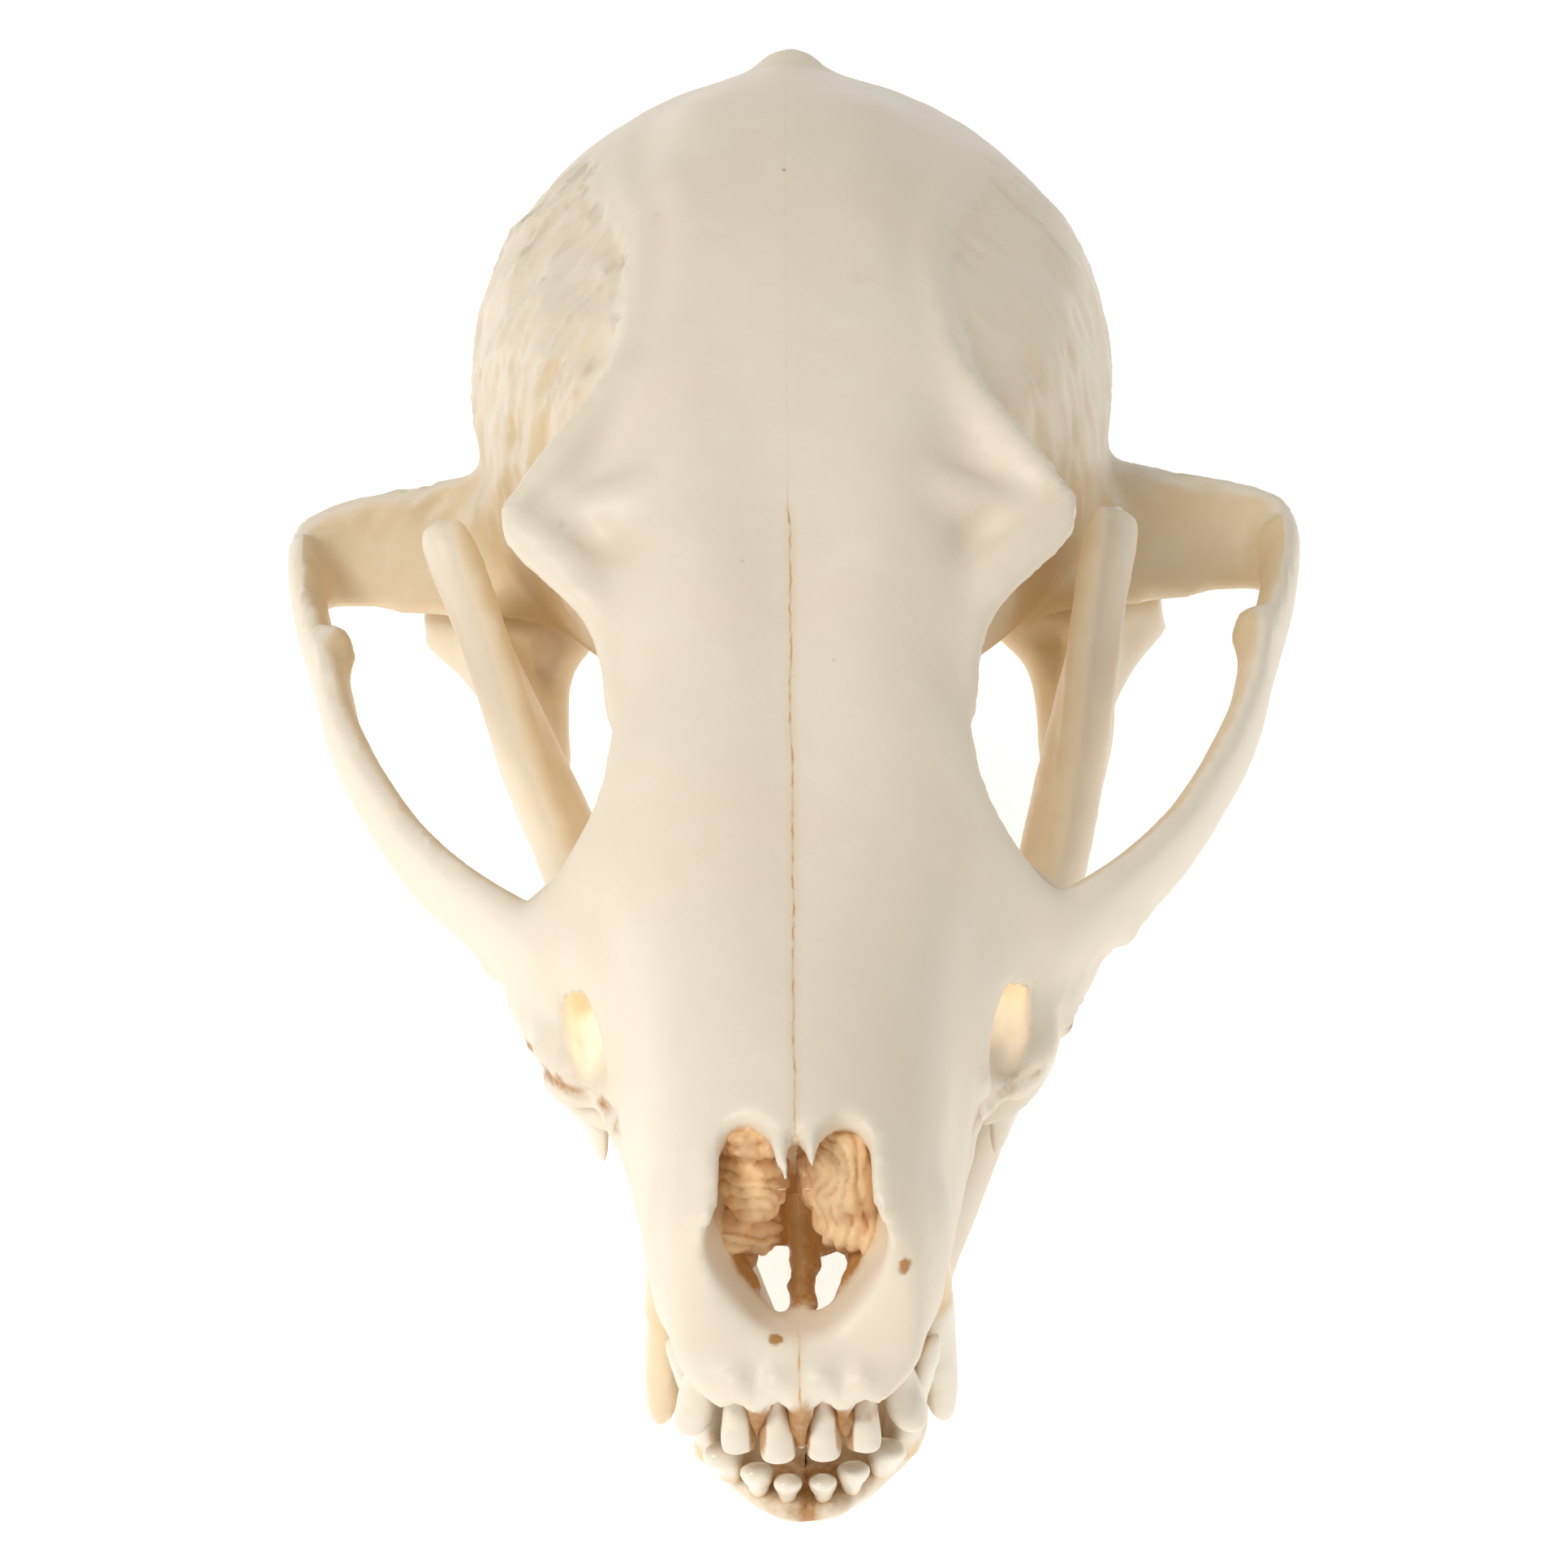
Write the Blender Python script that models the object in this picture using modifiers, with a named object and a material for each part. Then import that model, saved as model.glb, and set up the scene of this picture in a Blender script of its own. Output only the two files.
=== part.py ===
"""Fox skull: the cranium, the two halves of the lower jaw and forty-two teeth.

The shapes are laid out in a skull frame, in millimetres: X to the animal's left,
Y back from the front of the premaxilla, Z up from the upper tooth line. At the end
everything is tipped and moved so that the jaws lie on the surface at Z = 0.
"""

import math

import bmesh
import bpy
from mathutils import Matrix, Vector

# Driving dimensions, in millimetres and degrees.
MM = 0.001
REST_TILT = 4.8
FLOOR_Z = -18.45
CENTRE_Y = 61.2
GAP = 0.3
WALL = 2.1
CRANIUM_TRIANGLES = 2800
JAW_TRIANGLES = 660
CRANIUM_VOXEL = 0.8
JAW_VOXEL = 0.7
TOOTH_SEGMENTS = 6
ROOT_DEPTH = 2.4
FACET_CUT = (100.0, 200.0, 10.0)
SHARP_ANGLE = 40.0

# Feature lines of the cranium's left half: (station, x, z) or (station, x, z, y).
# A station is the distance back from the premaxilla, and y differs from it only
# where the back of the head curves round.
DORSAL_LINE = [
    (0, 0, 1.4), (1, 0, 2.6), (2.6, 0, 3.2), (3.6, 0, 6.4), (4.9, 0, 9.8), (7.4, 0, 13.2),
    (10, 0, 14.2), (15, 0, 15.2), (20, 0, 15.8), (25, 0, 16.3), (30, 0, 17.0), (35, 0, 18.0),
    (40, 0, 19.3), (45, 0, 20.8), (50, 0, 22.4), (55, 0, 24.0), (60, 0, 25.6), (65, 0, 27.2),
    (70, 0, 28.7), (75, 0, 30.0), (80, 0, 31.0), (85, 0, 31.8), (90, 0, 32.2), (95, 0, 32.2),
    (100, 0, 31.8), (105, 0, 31.0, 105.6), (112, 0, 28.4, 114), (116, 0, 26.2, 118),
    (119, 0, 24.9, 120.3), (121, 0, 22.6, 118.8),
]
PLATEAU_LINE = [
    (0, 1.5, 1.3), (2.6, 2.5, 3.1), (4.9, 2.8, 10.0), (7.4, 2.6, 13.0), (10, 2.8, 13.9),
    (20, 3.2, 15.5), (30, 3.8, 16.9), (40, 4.4, 19.5), (50, 4.8, 22.9), (55, 5.4, 24.6),
    (60, 6.6, 26.1), (65, 7.4, 27.2), (70, 7.2, 28.3), (75, 6.4, 29.5), (80, 5.5, 30.6),
    (90, 5.0, 31.9), (100, 5.6, 31.1), (106, 6.0, 29.9, 106.4), (112, 5.2, 27.0, 113.4),
    (116, 4.8, 25.2, 117), (119, 4.2, 23.9, 119.3), (121, 3.6, 22.0, 118.0),
]
INNER_CREST_LINE = [
    (0, 3.0, 1.1), (2.6, 4.6, 3.2), (4.9, 5.3, 10.6), (7.4, 5.0, 12.3), (10, 5.2, 12.9),
    (20, 6.1, 14.2), (30, 7.2, 15.6), (40, 8.2, 18.4), (46, 8.6, 20.4), (52, 9.0, 21.9),
    (57, 10.4, 23.1), (60, 11.8, 23.2), (65, 12.9, 23.8), (69, 12.2, 25.6), (74, 10.2, 28.2),
    (80, 8.7, 29.7), (86, 8.2, 30.4), (92, 8.4, 30.5), (98, 9.2, 29.7), (104, 9.6, 28.3, 104),
    (109, 9.2, 26.8, 109.6), (112, 8.7, 25.8, 112.4), (116, 8.2, 24.4, 116.2),
    (119, 7.6, 23.2, 118.4), (121, 6.4, 21.4, 117.2),
]
CREST_LINE = [
    (0, 4.2, 0.8), (2.6, 6.4, 3.6), (4.9, 6.6, 9.4), (7.4, 6.9, 10.9), (10, 7.3, 11.2),
    (20, 8.3, 12.3), (30, 9.6, 13.2), (36, 10.9, 14.2), (41, 12.6, 15.0), (46, 12.3, 17.2),
    (52, 11.7, 19.0), (57.7, 12.5, 21.5), (60.9, 14.6, 22.8), (63.7, 17.4, 24.0),
    (65, 19.3, 24.6), (66.4, 18.2, 25.2), (69.1, 16.1, 26.2), (73.1, 13.3, 27.6),
    (76.9, 11.2, 28.7), (81, 10.4, 29.4), (86.5, 9.7, 29.9), (92.7, 10.0, 29.7),
    (97, 11.0, 29.1), (101.6, 11.3, 28.1), (105.4, 11.3, 27.0, 105.4), (112, 10.9, 25.2, 111.4),
    (116, 10.3, 23.9, 114.8), (119, 9.8, 22.6, 117.2), (121, 8.2, 20.8, 116.4),
]
BELOW_CREST_LINE = [
    (0, 4.8, 0.2), (2.6, 7.2, 3.0), (4.9, 7.6, 7.8), (7.4, 8.2, 8.9), (10, 8.6, 9.1),
    (20, 9.7, 9.6), (30, 10.8, 10.4), (36, 12.4, 11.6), (41, 15.4, 11.6), (43, 14.6, 12.4),
    (46, 11.4, 14.8), (52, 10.7, 16.8), (58, 10.9, 19.2), (62, 12.0, 21.4), (65, 13.6, 22.9),
    (68, 13.6, 23.6), (74, 13.0, 25.8), (80, 12.5, 27.7), (86, 12.2, 28.5), (92, 12.7, 28.2),
    (98, 14.0, 27.3), (105, 14.9, 25.6, 104.8), (112, 14.6, 23.4, 110.6),
    (116, 13.7, 22.3, 113.6), (119, 12.8, 21.2, 116.0), (121, 10.4, 19.2, 115.2),
]
UPPER_WALL_LINE = [
    (0, 5.2, -0.3), (2.6, 7.6, 2.1), (4.9, 8.2, 6.0), (7.4, 8.9, 6.7), (10, 9.3, 6.8),
    (20, 10.2, 6.9), (26, 11.0, 7.1), (30, 11.8, 7.5), (34, 13.2, 8.4), (38, 15.6, 9.4),
    (41, 17.6, 9.4), (43, 15.0, 10.0), (46, 9.4, 11.0), (52, 8.6, 13.5), (58, 8.8, 16.0),
    (62, 9.6, 18.2), (66, 11.4, 19.8), (70, 12.8, 20.8), (74, 15.0, 22.4), (80, 16.8, 24.1),
    (86, 17.9, 24.7), (92, 18.7, 24.3), (98, 19.2, 23.4), (105, 19.2, 21.8, 104.2),
    (112, 18.1, 20.0, 109), (116, 17.0, 19.2, 111.6), (119, 16.0, 18.4, 113.6),
    (121, 12.6, 16.6, 113.6),
]
MID_WALL_LINE = [
    (0, 5.2, -0.7), (2.6, 7.7, 1.1), (4.9, 8.5, 3.9), (7.4, 9.3, 4.3), (10, 9.7, 4.4),
    (20, 10.6, 4.2), (26, 11.6, 4.5), (30, 12.5, 4.9), (34, 14.0, 5.5), (38, 16.8, 6.0),
    (41, 18.8, 6.2), (43, 16.0, 6.8), (46, 10.0, 7.5), (52, 8.2, 9.5), (58, 7.8, 12.0),
    (62, 8.2, 14.0), (66, 9.8, 15.2), (70, 12.3, 16.0), (74, 15.8, 17.2), (80, 18.8, 18.6),
    (86, 20.4, 19.0), (92, 21.3, 19.0), (98, 21.5, 18.5), (105, 21.1, 17.2, 103.6),
    (112, 20.2, 15.8, 106.6), (116, 19.3, 15.2, 108.8), (119, 18.5, 14.7, 110.6),
    (121, 14.2, 13.6, 112.0),
]
LOWER_WALL_LINE = [
    (0, 4.9, -0.9), (2.6, 7.4, 0.4), (4.9, 8.3, 2.2), (7.4, 9.2, 2.6), (10, 9.5, 2.6),
    (20, 10.7, 2.2), (26, 11.8, 2.2), (30, 12.9, 2.5), (34, 14.8, 2.9), (38, 17.4, 3.3),
    (41, 19.2, 3.6), (46, 18.3, 4.4), (50, 17.4, 4.0), (54, 14.0, 4.0), (58, 8.2, 6.0),
    (62, 7.2, 9.5), (66, 8.6, 10.6), (70, 11.8, 11.0), (74, 15.9, 11.8), (80, 19.6, 12.6),
    (86, 21.4, 13.4), (92, 22.1, 14.0), (96, 22.3, 14.2), (100, 22.0, 13.6, 99.8),
    (105, 21.6, 12.6, 102.2), (112, 20.8, 11.2, 104.2), (116, 19.9, 10.9, 106.4),
    (119, 19.1, 10.7, 108.2), (121, 14.8, 10.4, 110.8),
]
OUTER_RIM_LINE = [
    (0, 4.4, -1.0), (2.6, 6.9, -0.2), (4.9, 7.8, 0.7), (7.4, 8.8, 1.0), (10, 9.2, 1.0),
    (20, 10.6, 0.4), (26, 11.6, 0.3), (30, 12.7, 0.3), (34, 14.6, 0.4), (38, 16.9, 0.5),
    (42, 18.3, 0.6), (46, 18.5, 0.9), (50, 17.4, 1.2), (54, 14.4, 1.6), (58, 8.6, 3.0),
    (62, 6.6, 5.5), (66, 7.4, 7.2), (70, 10.5, 7.2), (74, 14.5, 7.4), (80, 18.4, 7.9),
    (86, 20.2, 8.2), (92, 20.6, 8.6), (98, 20.6, 8.4), (105, 20.2, 7.4, 101.2),
    (112, 19.6, 6.6, 102), (116, 19.2, 6.5, 103.8), (119, 18.6, 6.5, 105.8),
    (121, 14.0, 7.0, 110),
]
INNER_RIM_LINE = [
    (0, 3.6, -1.1), (2.6, 6.0, -0.7), (4.9, 6.6, -0.6), (10, 7.2, -0.4), (20, 8.2, -0.5),
    (30, 9.2, -0.5), (36, 10.6, -0.5), (42, 12.2, -0.4), (50, 12.0, 0.0), (54, 11.0, 0.6),
    (58, 7.6, 1.6), (62, 5.8, 4.2), (66, 6.2, 5.6), (70, 7.8, 5.6), (74, 10.4, 5.2),
    (80, 13.6, 4.8), (86, 15.4, 4.6), (92, 16.0, 4.6), (98, 16.0, 4.4), (105, 15.8, 3.6, 101.6),
    (112, 15.6, 3.0, 102.5), (116, 15.3, 2.7, 104.6), (119, 15.0, 2.5, 106.5),
    (121, 11.5, 4.0, 110),
]
PALATE_LINE = [
    (0, 2.0, -1.1), (2.6, 3.8, -0.6), (4.9, 4.0, 0.2), (10, 4.0, 0.8), (20, 4.4, 1.0),
    (30, 5.0, 1.2), (42, 6.2, 1.4), (54, 6.0, 1.7), (58, 4.6, 2.2), (62, 3.6, 4.6),
    (70, 4.0, 5.4), (80, 6.0, 4.6), (92, 8.0, 3.6), (104, 7.9, 2.2, 102.6),
    (112, 7.8, 1.9, 104.5), (116, 7.6, 1.6, 106.8), (119, 7.5, 1.4, 109), (121, 6.5, 3.0, 111.8),
]
VENTRAL_LINE = [
    (0, 0, -1.1), (2.6, 0, -0.4), (4.9, 0, 0.5), (10, 0, 1.1), (30, 0, 1.5), (54, 0, 1.8),
    (58, 0, 2.3), (62, 0, 4.7), (70, 0, 5.4), (80, 0, 4.6), (92, 0, 3.4), (104, 0, 2.3, 103.6),
    (112, 0, 1.9, 107), (116, 0, 1.9, 109.6), (119, 0, 2.0, 112), (121, 0, 3.0, 113.5),
]
CRANIUM_LINES = [
    DORSAL_LINE, PLATEAU_LINE, INNER_CREST_LINE, CREST_LINE, BELOW_CREST_LINE,
    UPPER_WALL_LINE, MID_WALL_LINE, LOWER_WALL_LINE, OUTER_RIM_LINE, INNER_RIM_LINE,
    PALATE_LINE, VENTRAL_LINE,
]
CRANIUM_END = 121.0
OCCIPUT_CENTRE = (0.0, 116.6, 13.5)

# Cheek arch: (x, y, middle z, half height, half thickness), front to back.
CHEEK_ARCH = [
    (15.0, 39.2, 4.8, 4.2, 2.6), (18.4, 42.6, 5.2, 4.0, 2.0), (21.9, 46.8, 5.4, 3.7, 1.5),
    (25.2, 51.8, 5.6, 3.5, 1.3), (28.0, 57.8, 6.0, 3.4, 1.25), (30.2, 64.0, 6.5, 3.7, 1.25),
    (31.4, 70.0, 7.2, 4.0, 1.3), (32.6, 75.6, 7.4, 3.4, 1.3), (33.3, 80.6, 7.6, 3.0, 1.3),
    (33.3, 84.4, 7.7, 2.8, 1.5),
]
CHEEK_BUMP = [((31.0, 70.8, 8.6), 1.7), ((30.9, 71.5, 11.2), 0.9)]

# Root of the cheek arch on the braincase: outlines in (y, z) at four distances out.
SQUAMOSAL_ROOT = [
    (13.0, [(80.8, 4.2), (83.5, 9.0), (88, 14), (93, 14),
            (94, 8), (91.5, 2.6), (88, 4.4), (84, 4.4)]),
    (20.0, [(81.2, 4.2), (84.2, 7.8), (88.8, 12), (91.4, 10),
            (91.8, 4), (91.0, 0.0), (89.6, 3.6), (85.0, 4.5)]),
    (26.0, [(81.8, 4.3), (84.6, 7.7), (88.0, 10.9), (90.4, 9.2),
            (91.2, 4.5), (90.8, 0.0), (89.6, 3.6), (85.2, 4.5)]),
    (30.0, [(82.3, 4.5), (84.8, 7.7), (87.7, 10.5), (89.4, 9.0),
            (89.9, 5.5), (89.5, 3.0), (88.2, 4.3), (85.2, 4.6)]),
    (33.4, [(82.6, 5.0), (84.2, 7.9), (86.9, 10.0), (87.9, 8.8),
            (87.9, 6.5), (87.2, 5.1), (85.9, 4.9), (84.2, 4.8)]),
    (34.7, [(83.0, 6.2), (83.8, 7.8), (85.4, 9.0), (86.1, 8.4),
            (86.1, 7.2), (85.5, 6.2), (84.8, 6.0), (84.0, 5.9)]),
]

# Rounded masses that grow out of the skull base: centre, half sizes, turn about Z.
BULLA = ((11.4, 98.4, 0.3), (6.0, 8.8, 6.7), 18.0)
MASTOID = ((18.2, 103.0, 5.4), (3.0, 4.4, 3.8), 0.0)
OCCIPITAL_CONDYLE = ((7.3, 115.0, 5.4), (3.0, 4.0, 4.6), -22.0)
SAGITTAL_KNOB = ((0.0, 118.6, 24.8), (1.7, 2.2, 1.5), 0.0)
CANINE_SWELLING = ((7.7, 13.0, 5.0), (2.2, 5.6, 5.0), 6.0)
PAROCCIPITAL = [((15.6, 106.5, 5.0), 3.4), ((15.2, 107.6, 0.0), 2.4), ((14.6, 108.2, -4.6), 1.2)]
HAMULUS = [((6.1, 74.0, 1.6), 1.3), ((6.0, 78.6, -0.2), 1.1), ((5.8, 81.4, -1.4), 0.9)]
# Side wall of the throat passage: (y, top z, bottom z).
PTERYGOID_PLATE = [(57.0, 4.0, 0.4), (62.0, 7.5, 0.2), (68.0, 8.0, 0.2), (74.0, 8.0, 0.4), (79.0, 6.5, 1.6)]
PLATE_X = 6.2
PLATE_HALF = 0.85

# Thick rolled edge above the eye: (centre), radius, from the brow to the process tip and back.
BROW = [((11.2, 50.0, 17.6), 1.2), ((11.4, 55.0, 19.8), 1.3), ((13.2, 59.6, 21.8), 1.5),
        ((16.2, 63.0, 23.2), 1.4), ((18.9, 64.9, 24.1), 0.75)]
BROW_BACK = [((18.6, 65.0, 24.2), 0.8), ((15.6, 68.9, 25.4), 1.3), ((12.9, 73.0, 26.8), 1.2),
             ((10.8, 77.0, 28.0), 1.1), ((9.8, 82.0, 28.8), 1.0)]
PROCESS_WEB = [((9.5, 66.0, 23.5), 3.2), ((13.5, 65.6, 23.3), 2.2), ((17.0, 65.3, 23.8), 1.2)]

# Openings in the cranium.
EAR_HOLE = [((17.5, 95.0, 2.6), 1.7), ((24.0, 93.0, 3.4), 1.7)]
FORAMEN_HALF = (6.2, 5.6)
FORAMEN_Z = 8.3
FORAMEN_SPAN = (104.0, 123.0)
BRAIN_SPAN = (72.0, 111.0)
INFRAORBITAL = [(27.0, 13.9, 4.6), (35.0, 13.7, 5.6), (45.0, 13.6, 8.4)]
INFRAORBITAL_HALF = (1.25, 2.2)
PALATE_FISSURE = ((1.9, 8.6), (1.25, 4.6), -4.0, 6.0)
NASAL_MOUTH = [
    (-2.0, 5.6, 3.2, 12.6), (4.0, 5.7, 3.0, 12.2), (8.0, 5.6, 2.9, 12.0), (14.0, 5.6, 3.0, 13.0),
    (18.0, 5.0, 3.6, 13.0),
]
NASAL_SLIT = ((0.0, 7.2), (0.42, 2.6), 9.0, 20.0, 6)
NASAL_NOTCH = ((3.35, 6.6), (2.15, 3.2), 9.0, 20.0)
TURBINATE_LEFT = ((3.2, 15.8, 9.9), (3.0, 4.6, 4.3), 0.0)
TURBINATE_RIGHT = ((-3.3, 16.4, 9.8), (2.8, 4.4, 4.2), 0.0)
CHOANA = [(50.0, 2.2, 4.2, 7.6), (56.0, 3.6, 3.8, 8.6), (64.0, 4.4, -1.0, 8.4)]

# Half of the lower jaw: (y, bottom z, top z, middle x, half thickness below, above).
JAW_STATIONS = [
    (1.2, -10.5, -9.5, 0.9, 0.9, 0.9), (2.1, -10.9, -9.3, 1.4, 1.2, 1.6),
    (4.6, -12.1, -9.0, 2.3, 1.4, 3.0), (7.4, -13.4, -8.5, 2.9, 2.2, 3.4),
    (12.0, -15.2, -7.8, 3.9, 3.3, 3.7), (16.0, -16.8, -7.6, 4.4, 3.4, 3.3),
    (20.0, -18.2, -7.6, 5.1, 3.1, 2.9), (25.0, -19.3, -7.6, 6.4, 2.8, 2.6),
    (30.0, -19.9, -7.7, 7.7, 2.7, 2.4), (35.0, -20.4, -7.8, 8.9, 2.6, 2.4),
    (43.0, -20.5, -7.8, 10.8, 2.5, 2.6), (51.0, -19.9, -7.6, 12.6, 2.4, 2.5),
    (58.0, -18.9, -6.6, 14.0, 2.3, 2.1), (61.6, -18.3, -4.4, 14.7, 2.3, 1.8),
    (64.5, -17.9, 2.0, 15.5, 2.3, 1.7), (68.0, -17.6, 10.0, 16.4, 2.3, 1.5),
    (71.0, -17.6, 15.6, 17.1, 2.2, 1.3), (73.6, -17.8, 18.0, 17.8, 2.2, 1.1),
    (76.0, -18.0, 16.8, 18.4, 2.1, 1.0), (78.0, -17.9, 12.6, 18.9, 2.1, 1.0),
    (80.6, -17.2, 4.6, 19.4, 2.0, 1.3), (83.6, -14.6, 2.4, 19.8, 1.8, 1.9),
    (86.6, -9.6, 1.6, 20.0, 1.4, 2.4),
]
JAW_LEAN = math.tan(math.radians(13.0))
JAW_LEAN_FROM = -4.0
JAW_TUCK = 0.16
JAW_TUCK_BELOW = -8.0
CONDYLE = [((13.7, 86.6, 0.9), 1.84), ((16.65, 86.6, 0.9), 2.3), ((22.55, 86.6, 0.9), 2.3),
           ((25.5, 86.6, 0.9), 1.84)]
CORONOID_EDGE = [((15.0, 61.4, -6.5), 2.0), ((17.2, 65.0, 3.0), 1.8), ((19.8, 69.4, 12.0), 1.6),
                 ((21.8, 72.8, 16.9), 1.4)]
ANGULAR = [((19.0, 81.0, -13.4), 2.2), ((20.0, 86.0, -12.0), 1.9), ((20.8, 89.6, -9.8), 1.2)]
MASSETER_HOLLOW = ((23.0, 73.5, -3.0), (3.2, 7.6, 9.4), -10.0)
SYMPHYSIS = (0.0, 5.0, -12.0)
SYMPHYSIS_CUT = (40.0, 60.0, 40.0)
# The lower jaw lies slightly skewed under the cranium, as in the photograph.
SKEW = [(0.0, 0.2), (5.0, 0.2), (38.0, 1.2), (62.0, 1.2), (84.0, 0.3), (92.0, 0.2)]
SKEW_ROLL = 0.075

# Teeth of one side: (name, x, y, across, along, turn, crown, tip x, tip y, root scale).
UPPER_TEETH = [
    ("incisor_1", 1.45, 1.9, 0.95, 1.1, 0.0, 4.3, -0.05, -1.9, 0.45),
    ("incisor_2", 3.7, 2.6, 1.05, 1.15, 8.0, 4.3, -0.2, -1.9, 0.45),
    ("incisor_3", 6.0, 4.6, 1.1, 1.4, 20.0, 4.4, 0.7, -1.5, 0.5),
    ("canine", 8.1, 10.3, 1.5, 2.2, 4.0, 10.3, 0.9, 0.0, 1.0),
    ("premolar_1", 8.4, 16.3, 0.95, 1.6, 4.0, 2.7, 0.1, -0.4, 0.72),
    ("premolar_2", 9.2, 22.1, 1.15, 2.9, 6.0, 3.9, 0.1, -0.6, 0.72),
    ("premolar_3", 10.2, 29.1, 1.25, 3.3, 9.0, 4.5, 0.1, -0.7, 0.72),
    ("premolar_4", 13.7, 37.6, 1.8, 4.9, 24.0, 5.7, 0.0, -2.2, 0.72),
    ("molar_1", 14.7, 46.5, 4.3, 3.3, 10.0, 3.2, 1.6, 0.0, 0.66),
    ("molar_2", 13.7, 52.4, 3.1, 2.1, 16.0, 2.4, 0.8, 0.0, 0.66),
]
LOWER_TEETH = [
    ("incisor_1", 1.1, 2.7, 0.7, 0.85, 0.0, 2.2, 0.0, -1.2, 0.3),
    ("incisor_2", 2.8, 3.5, 0.8, 0.85, 12.0, 2.3, -0.1, -0.7, 0.3),
    ("incisor_3", 4.7, 5.0, 0.9, 0.95, 30.0, 2.4, 0.2, -0.8, 0.4),
    ("canine", 6.0, 7.6, 1.2, 1.7, 10.0, 8.8, 2.4, -1.2, 0.9),
    ("premolar_1", 6.2, 13.9, 0.85, 1.3, 0.0, 2.0, 0.0, -0.3, 0.72),
    ("premolar_2", 6.3, 19.2, 1.0, 2.6, 4.0, 3.2, 0.0, -0.5, 0.72),
    ("premolar_3", 7.3, 26.5, 1.15, 3.1, 8.0, 3.7, 0.0, -0.5, 0.72),
    ("premolar_4", 8.6, 34.2, 1.3, 3.5, 12.0, 4.2, 0.0, -0.4, 0.72),
    ("molar_1", 10.5, 44.3, 1.75, 5.8, 14.0, 5.2, 0.1, -2.2, 0.72),
    ("molar_2", 13.0, 53.8, 1.9, 2.8, 14.0, 2.2, 0.0, 0.0, 0.72),
    ("molar_3", 14.3, 58.6, 1.1, 1.3, 14.0, 1.4, 0.0, 0.0, 0.72),
]

# Height of the bone's edge at the teeth: (y, z).
UPPER_TOOTH_LINE = [(0, -0.6), (5, -0.1), (10, 0.9), (16, 0.2), (30, 0.1), (54, 0.8)]
LOWER_TOOTH_LINE = [(0, -9.8), (4.6, -9.1), (8, -8.2), (14, -7.6), (60, -6.9)]

# Finishes: colour, roughness.
BONE = ((0.80, 0.74, 0.62), 0.5)
ENAMEL = ((0.84, 0.79, 0.68), 0.28)


def clear_scene():
    """Remove whatever the scene starts with."""
    for item in list(bpy.data.objects):
        bpy.data.objects.remove(item, do_unlink=True)


def material(name, finish):
    """Plain finish with the colour and roughness of the real surface."""
    colour, roughness = finish
    made = bpy.data.materials.new(name)
    made.use_nodes = True
    shader = made.node_tree.nodes["Principled BSDF"]
    shader.inputs["Base Color"].default_value = (*colour, 1.0)
    shader.inputs["Roughness"].default_value = roughness
    shader.inputs["Metallic"].default_value = 0.0
    return made


def new_collection(name):
    made = bpy.data.collections.new(name)
    bpy.context.scene.collection.children.link(made)
    return made


def place(name, mesh, collection, finish=None):
    made = bpy.data.objects.new(name, mesh)
    collection.objects.link(made)
    if finish:
        mesh.materials.clear()
        mesh.materials.append(finish)
    return made


def along(line, station):
    """Smooth curve through a line's points; the first value is the station."""
    last = len(line) - 1
    at = min(max(station, line[0][0]), line[last][0])
    span = 0
    while span < last - 1 and line[span + 1][0] < at:
        span += 1
    left = line[span]
    right = line[span + 1]
    width = right[0] - left[0]
    share = (at - left[0]) / width
    values = []
    for axis in range(1, len(left)):
        chord = (right[axis] - left[axis]) / width
        before = line[max(span - 1, 0)]
        after = line[min(span + 2, last)]
        start = chord if span == 0 else (right[axis] - before[axis]) / (right[0] - before[0])
        end = chord if span + 1 == last else (after[axis] - left[axis]) / (after[0] - left[0])
        square = share * share
        cube = square * share
        values.append(
            left[axis] * (2 * cube - 3 * square + 1)
            + right[axis] * (3 * square - 2 * cube)
            + start * width * (cube - 2 * square + share)
            + end * width * (cube - square)
        )
    return values


def full_line(line):
    """Give every point of a line its own y."""
    return [(p[0], p[1], p[2], p[3] if len(p) > 3 else p[0]) for p in line]


def half_section(lines, station):
    """Points of the left half of one section, from the top round to the bottom."""
    points = []
    for line in lines:
        x, z, y = along(line, station)
        points.append(Vector((max(x, 0.0), y, z)))
    return points


def refine(points, steps):
    """Smooth curve through the points, with steps pieces between two of them."""
    rows = [(i, p.x, p.y, p.z) for i, p in enumerate(points)]
    count = (len(points) - 1) * steps
    return [Vector(along(rows, i / steps)) for i in range(count + 1)]


def mirrored_ring(half):
    """Close a half section with its mirror image."""
    left = [Vector((-p.x, p.y, p.z)) for p in half[-2:0:-1]]
    return half + left


def loft(rings, start_tip=None, end_tip=None):
    """Skin over rings of equal length; the ends are closed over a middle point."""
    body = bmesh.new()
    rows = [[body.verts.new(p * MM) for p in ring] for ring in rings]
    size = len(rings[0])
    for first, second in zip(rows, rows[1:]):
        for i in range(size):
            j = (i + 1) % size
            body.faces.new((first[i], first[j], second[j], second[i]))
    for row, ring, tip in ((rows[0], rings[0], start_tip), (rows[-1], rings[-1], end_tip)):
        middle = Vector(tip) if tip else sum(ring, Vector()) / size
        centre = body.verts.new(middle * MM)
        for i in range(size):
            body.faces.new((row[i], row[(i + 1) % size], centre))
    bmesh.ops.recalc_face_normals(body, faces=body.faces)
    return body


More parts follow.
